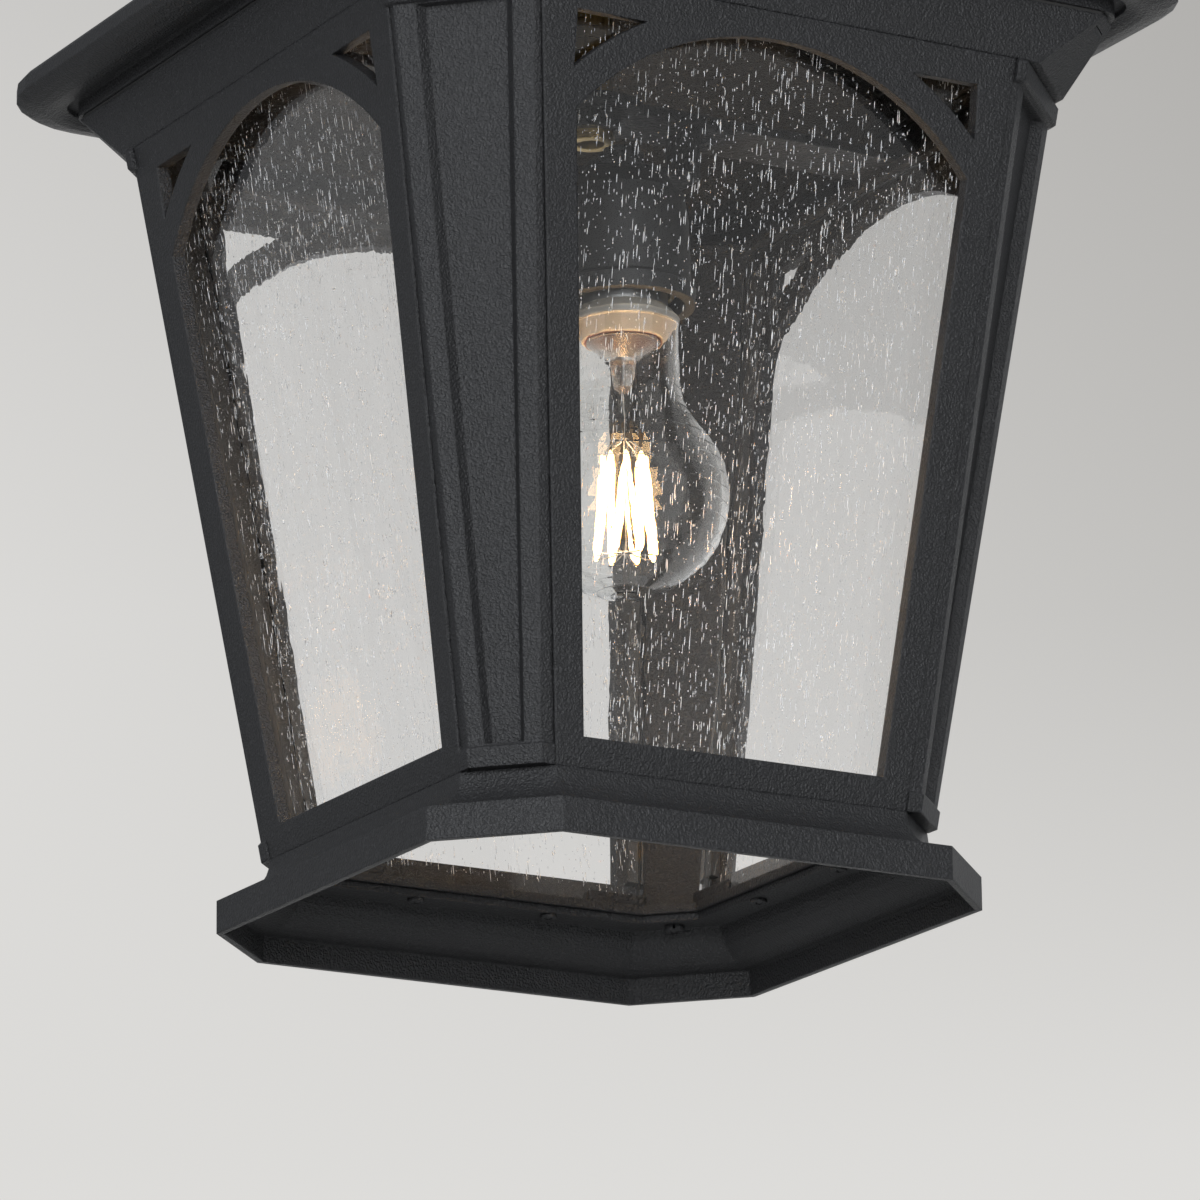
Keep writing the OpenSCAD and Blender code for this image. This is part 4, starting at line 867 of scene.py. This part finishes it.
def screwTree():
    tree, given, out = newTree("domedScrew", "Seats", [
        ("Head Radius", "NodeSocketFloat", 0.003), ("Head Height", "NodeSocketFloat", 0.002),
        ("Head Middle", "NodeSocketVector", None), ("Dome Radius", "NodeSocketFloat", 0.006),
        ("Dome Middle", "NodeSocketVector", None), ("Slot", "NodeSocketVector", None),
        ("Cross Slot", "NodeSocketVector", None), ("Shank Radius", "NodeSocketFloat", 0.0017),
        ("Shank Length", "NodeSocketFloat", 0.008), ("Shank Middle", "NodeSocketVector", None),
        ("Turn", "NodeSocketVector", None), ("Seed", "NodeSocketInt", 1)])
    drum = feed(tree, addNode(tree, "GeometryNodeMeshCylinder"), Vertices=screwHeads["round"],
                Radius=given.outputs["Head Radius"], Depth=given.outputs["Head Height"])
    ball = feed(tree, addNode(tree, "GeometryNodeMeshUVSphere"), Segments=screwHeads["round"],
                Rings=screwHeads["rings"], Radius=given.outputs["Dome Radius"])
    head = addNode(tree, "GeometryNodeMeshBoolean", operation="INTERSECT", solver="EXACT")
    tree.links.new(placed(tree, drum, given.outputs["Head Middle"]), head.inputs["Mesh 2"])
    tree.links.new(placed(tree, ball, given.outputs["Dome Middle"]), head.inputs["Mesh 2"])
    cut = addNode(tree, "GeometryNodeMeshBoolean", operation="DIFFERENCE", solver="EXACT")
    tree.links.new(head.outputs["Mesh"], cut.inputs["Mesh 1"])
    for label in ("Slot", "Cross Slot"):
        bar = feed(tree, addNode(tree, "GeometryNodeMeshCube"), Size=given.outputs[label])
        tree.links.new(bar.outputs["Mesh"], cut.inputs["Mesh 2"])
    shank = feed(tree, addNode(tree, "GeometryNodeMeshCylinder"), Vertices=screwHeads["shankRound"],
                 Radius=given.outputs["Shank Radius"], Depth=given.outputs["Shank Length"])
    screw = addNode(tree, "GeometryNodeJoinGeometry")
    tree.links.new(cut.outputs["Mesh"], screw.inputs[0])
    tree.links.new(placed(tree, shank, given.outputs["Shank Middle"]), screw.inputs[0])
    bend = addNode(tree, "GeometryNodeInputMeshEdgeAngle")
    crisp = mathNode(tree, "GREATER_THAN", bend.outputs["Unsigned Angle"], math.radians(screwHeads["crisp"]))
    sharp = addNode(tree, "GeometryNodeSetShadeSmooth", domain="EDGE")
    feed(tree, sharp, Geometry=smoothed(tree, screw.outputs[0]), Selection=crisp, Shade_Smooth=False)
    copies = addNode(tree, "GeometryNodeInstanceOnPoints")
    feed(tree, copies, Points=given.outputs["Seats"], Instance=sharp.outputs[0], Rotation=given.outputs["Turn"])
    driven = addNode(tree, "FunctionNodeRandomValue", data_type="FLOAT_VECTOR")
    driven.inputs[0].default_value = (0, 0, -math.pi)
    driven.inputs[1].default_value = (0, 0, math.pi)
    feed(tree, driven, Seed=given.outputs["Seed"])
    spun = addNode(tree, "GeometryNodeRotateInstances")
    feed(tree, spun, Instances=copies.outputs[0], Rotation=driven.outputs[0], Local_Space=True)
    closeTree(tree, given, out, spun.outputs[0])
    return tree


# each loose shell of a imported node, as its corners
def shellsOf(node):
    bm = bmesh.new()
    bm.from_mesh(node.data)
    bmesh.ops.remove_doubles(bm, verts=bm.verts, dist=mergeWithin)
    bm.verts.ensure_lookup_table()
    left, shells = set(bm.verts), []
    for first in bm.verts:
        if first not in left:
            continue
        left.remove(first)
        found, queue = [], [first]
        while queue:
            vert = queue.pop()
            found.append(vert.co.copy())
            for edge in vert.link_edges:
                other = edge.other_vert(vert)
                if other in left:
                    left.remove(other)
                    queue.append(other)
        shells.append(found)
    bm.free()
    return shells


# where a packed screw's head is, which way it faces, and the sizes of its head and shank
def screwFacts(corners):
    low = Vector([min(p[i] for p in corners) for i in range(3)])
    high = Vector([max(p[i] for p in corners) for i in range(3)])
    axis = max(range(3), key=lambda i: high[i] - low[i])
    middle = (low + high) / 2

    def radial(p):
        away = p - middle
        away[axis] = 0
        return away.length

    ends = [max(radial(p) for p in corners if abs(p[axis] - end) < endWithin) for end in (low[axis], high[axis])]
    sign = 1 if ends[1] > ends[0] else -1
    seat = middle.copy()
    seat[axis] = high[axis] if sign > 0 else low[axis]
    face = Vector((0, 0, 0))
    face[axis] = sign
    wide = max(ends)
    tall = max(abs(p[axis] - seat[axis]) for p in corners if radial(p) > headFrom * wide)
    return seat, face, wide, tall, min(ends), high[axis] - low[axis] - tall


def screwFinish(node):
    if node in coatedScrews:
        return finishes["black_powder_coat"]
    return finishes["black_steel" if node in blackened else slotOf[node]]


def makeScrews():
    tree = screwTree()
    overlap = screwHeads["overlap"]
    for node in screwNodes:
        facts = [screwFacts(shell) for shell in shellsOf(nodes[node])]
        face, wide, tall, thin, long = facts[0][1:]
        drop = tall * screwHeads["dome"]
        dome = (wide * wide + drop * drop) / (2 * drop)
        slot = (wide * screwHeads["slotWide"], wide * screwHeads["slotLong"], tall * screwHeads["slotDeep"] * 2)
        obj = grow("screws_" + node, tree, [fact[0] for fact in facts], [], [], screwFinish(node), {
            "Head Radius": wide, "Head Height": tall, "Head Middle": (0, 0, -tall / 2),
            "Dome Radius": dome, "Dome Middle": (0, 0, -dome), "Slot": slot,
            "Cross Slot": (slot[1], slot[0], slot[2]),
            "Shank Radius": thin, "Shank Length": long + overlap,
            "Shank Middle": (0, 0, overlap / 2 - tall - long / 2),
            "Turn": tuple(face.to_track_quat("Z", "Y").to_euler()), "Seed": screwHeads["start"]})
        print("screws", node, len(facts), len(obj.data.polygons), "faces")
        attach(obj, "ceiling" if node == "bracket_earth_screw" else "lantern")
        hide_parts(node)


# nodes whose finish isn't the one of their slot
special = {"lamp_stem": "stem", **{name: "black_steel" for name in blackened}}

print("dressing the packed nodes")
for name, node in nodes.items():
    node.data.materials.clear()
    node.data.materials.append(finishes[special.get(name, slotOf[name])])

print("drawing the seeded panes")
makePanes()
print("bending the chain")
drawnWire = wireTree()
makeChain(drawnWire)
print("winding the filament")
makeFilament(drawnWire)
print("driving the screws")
makeScrews()
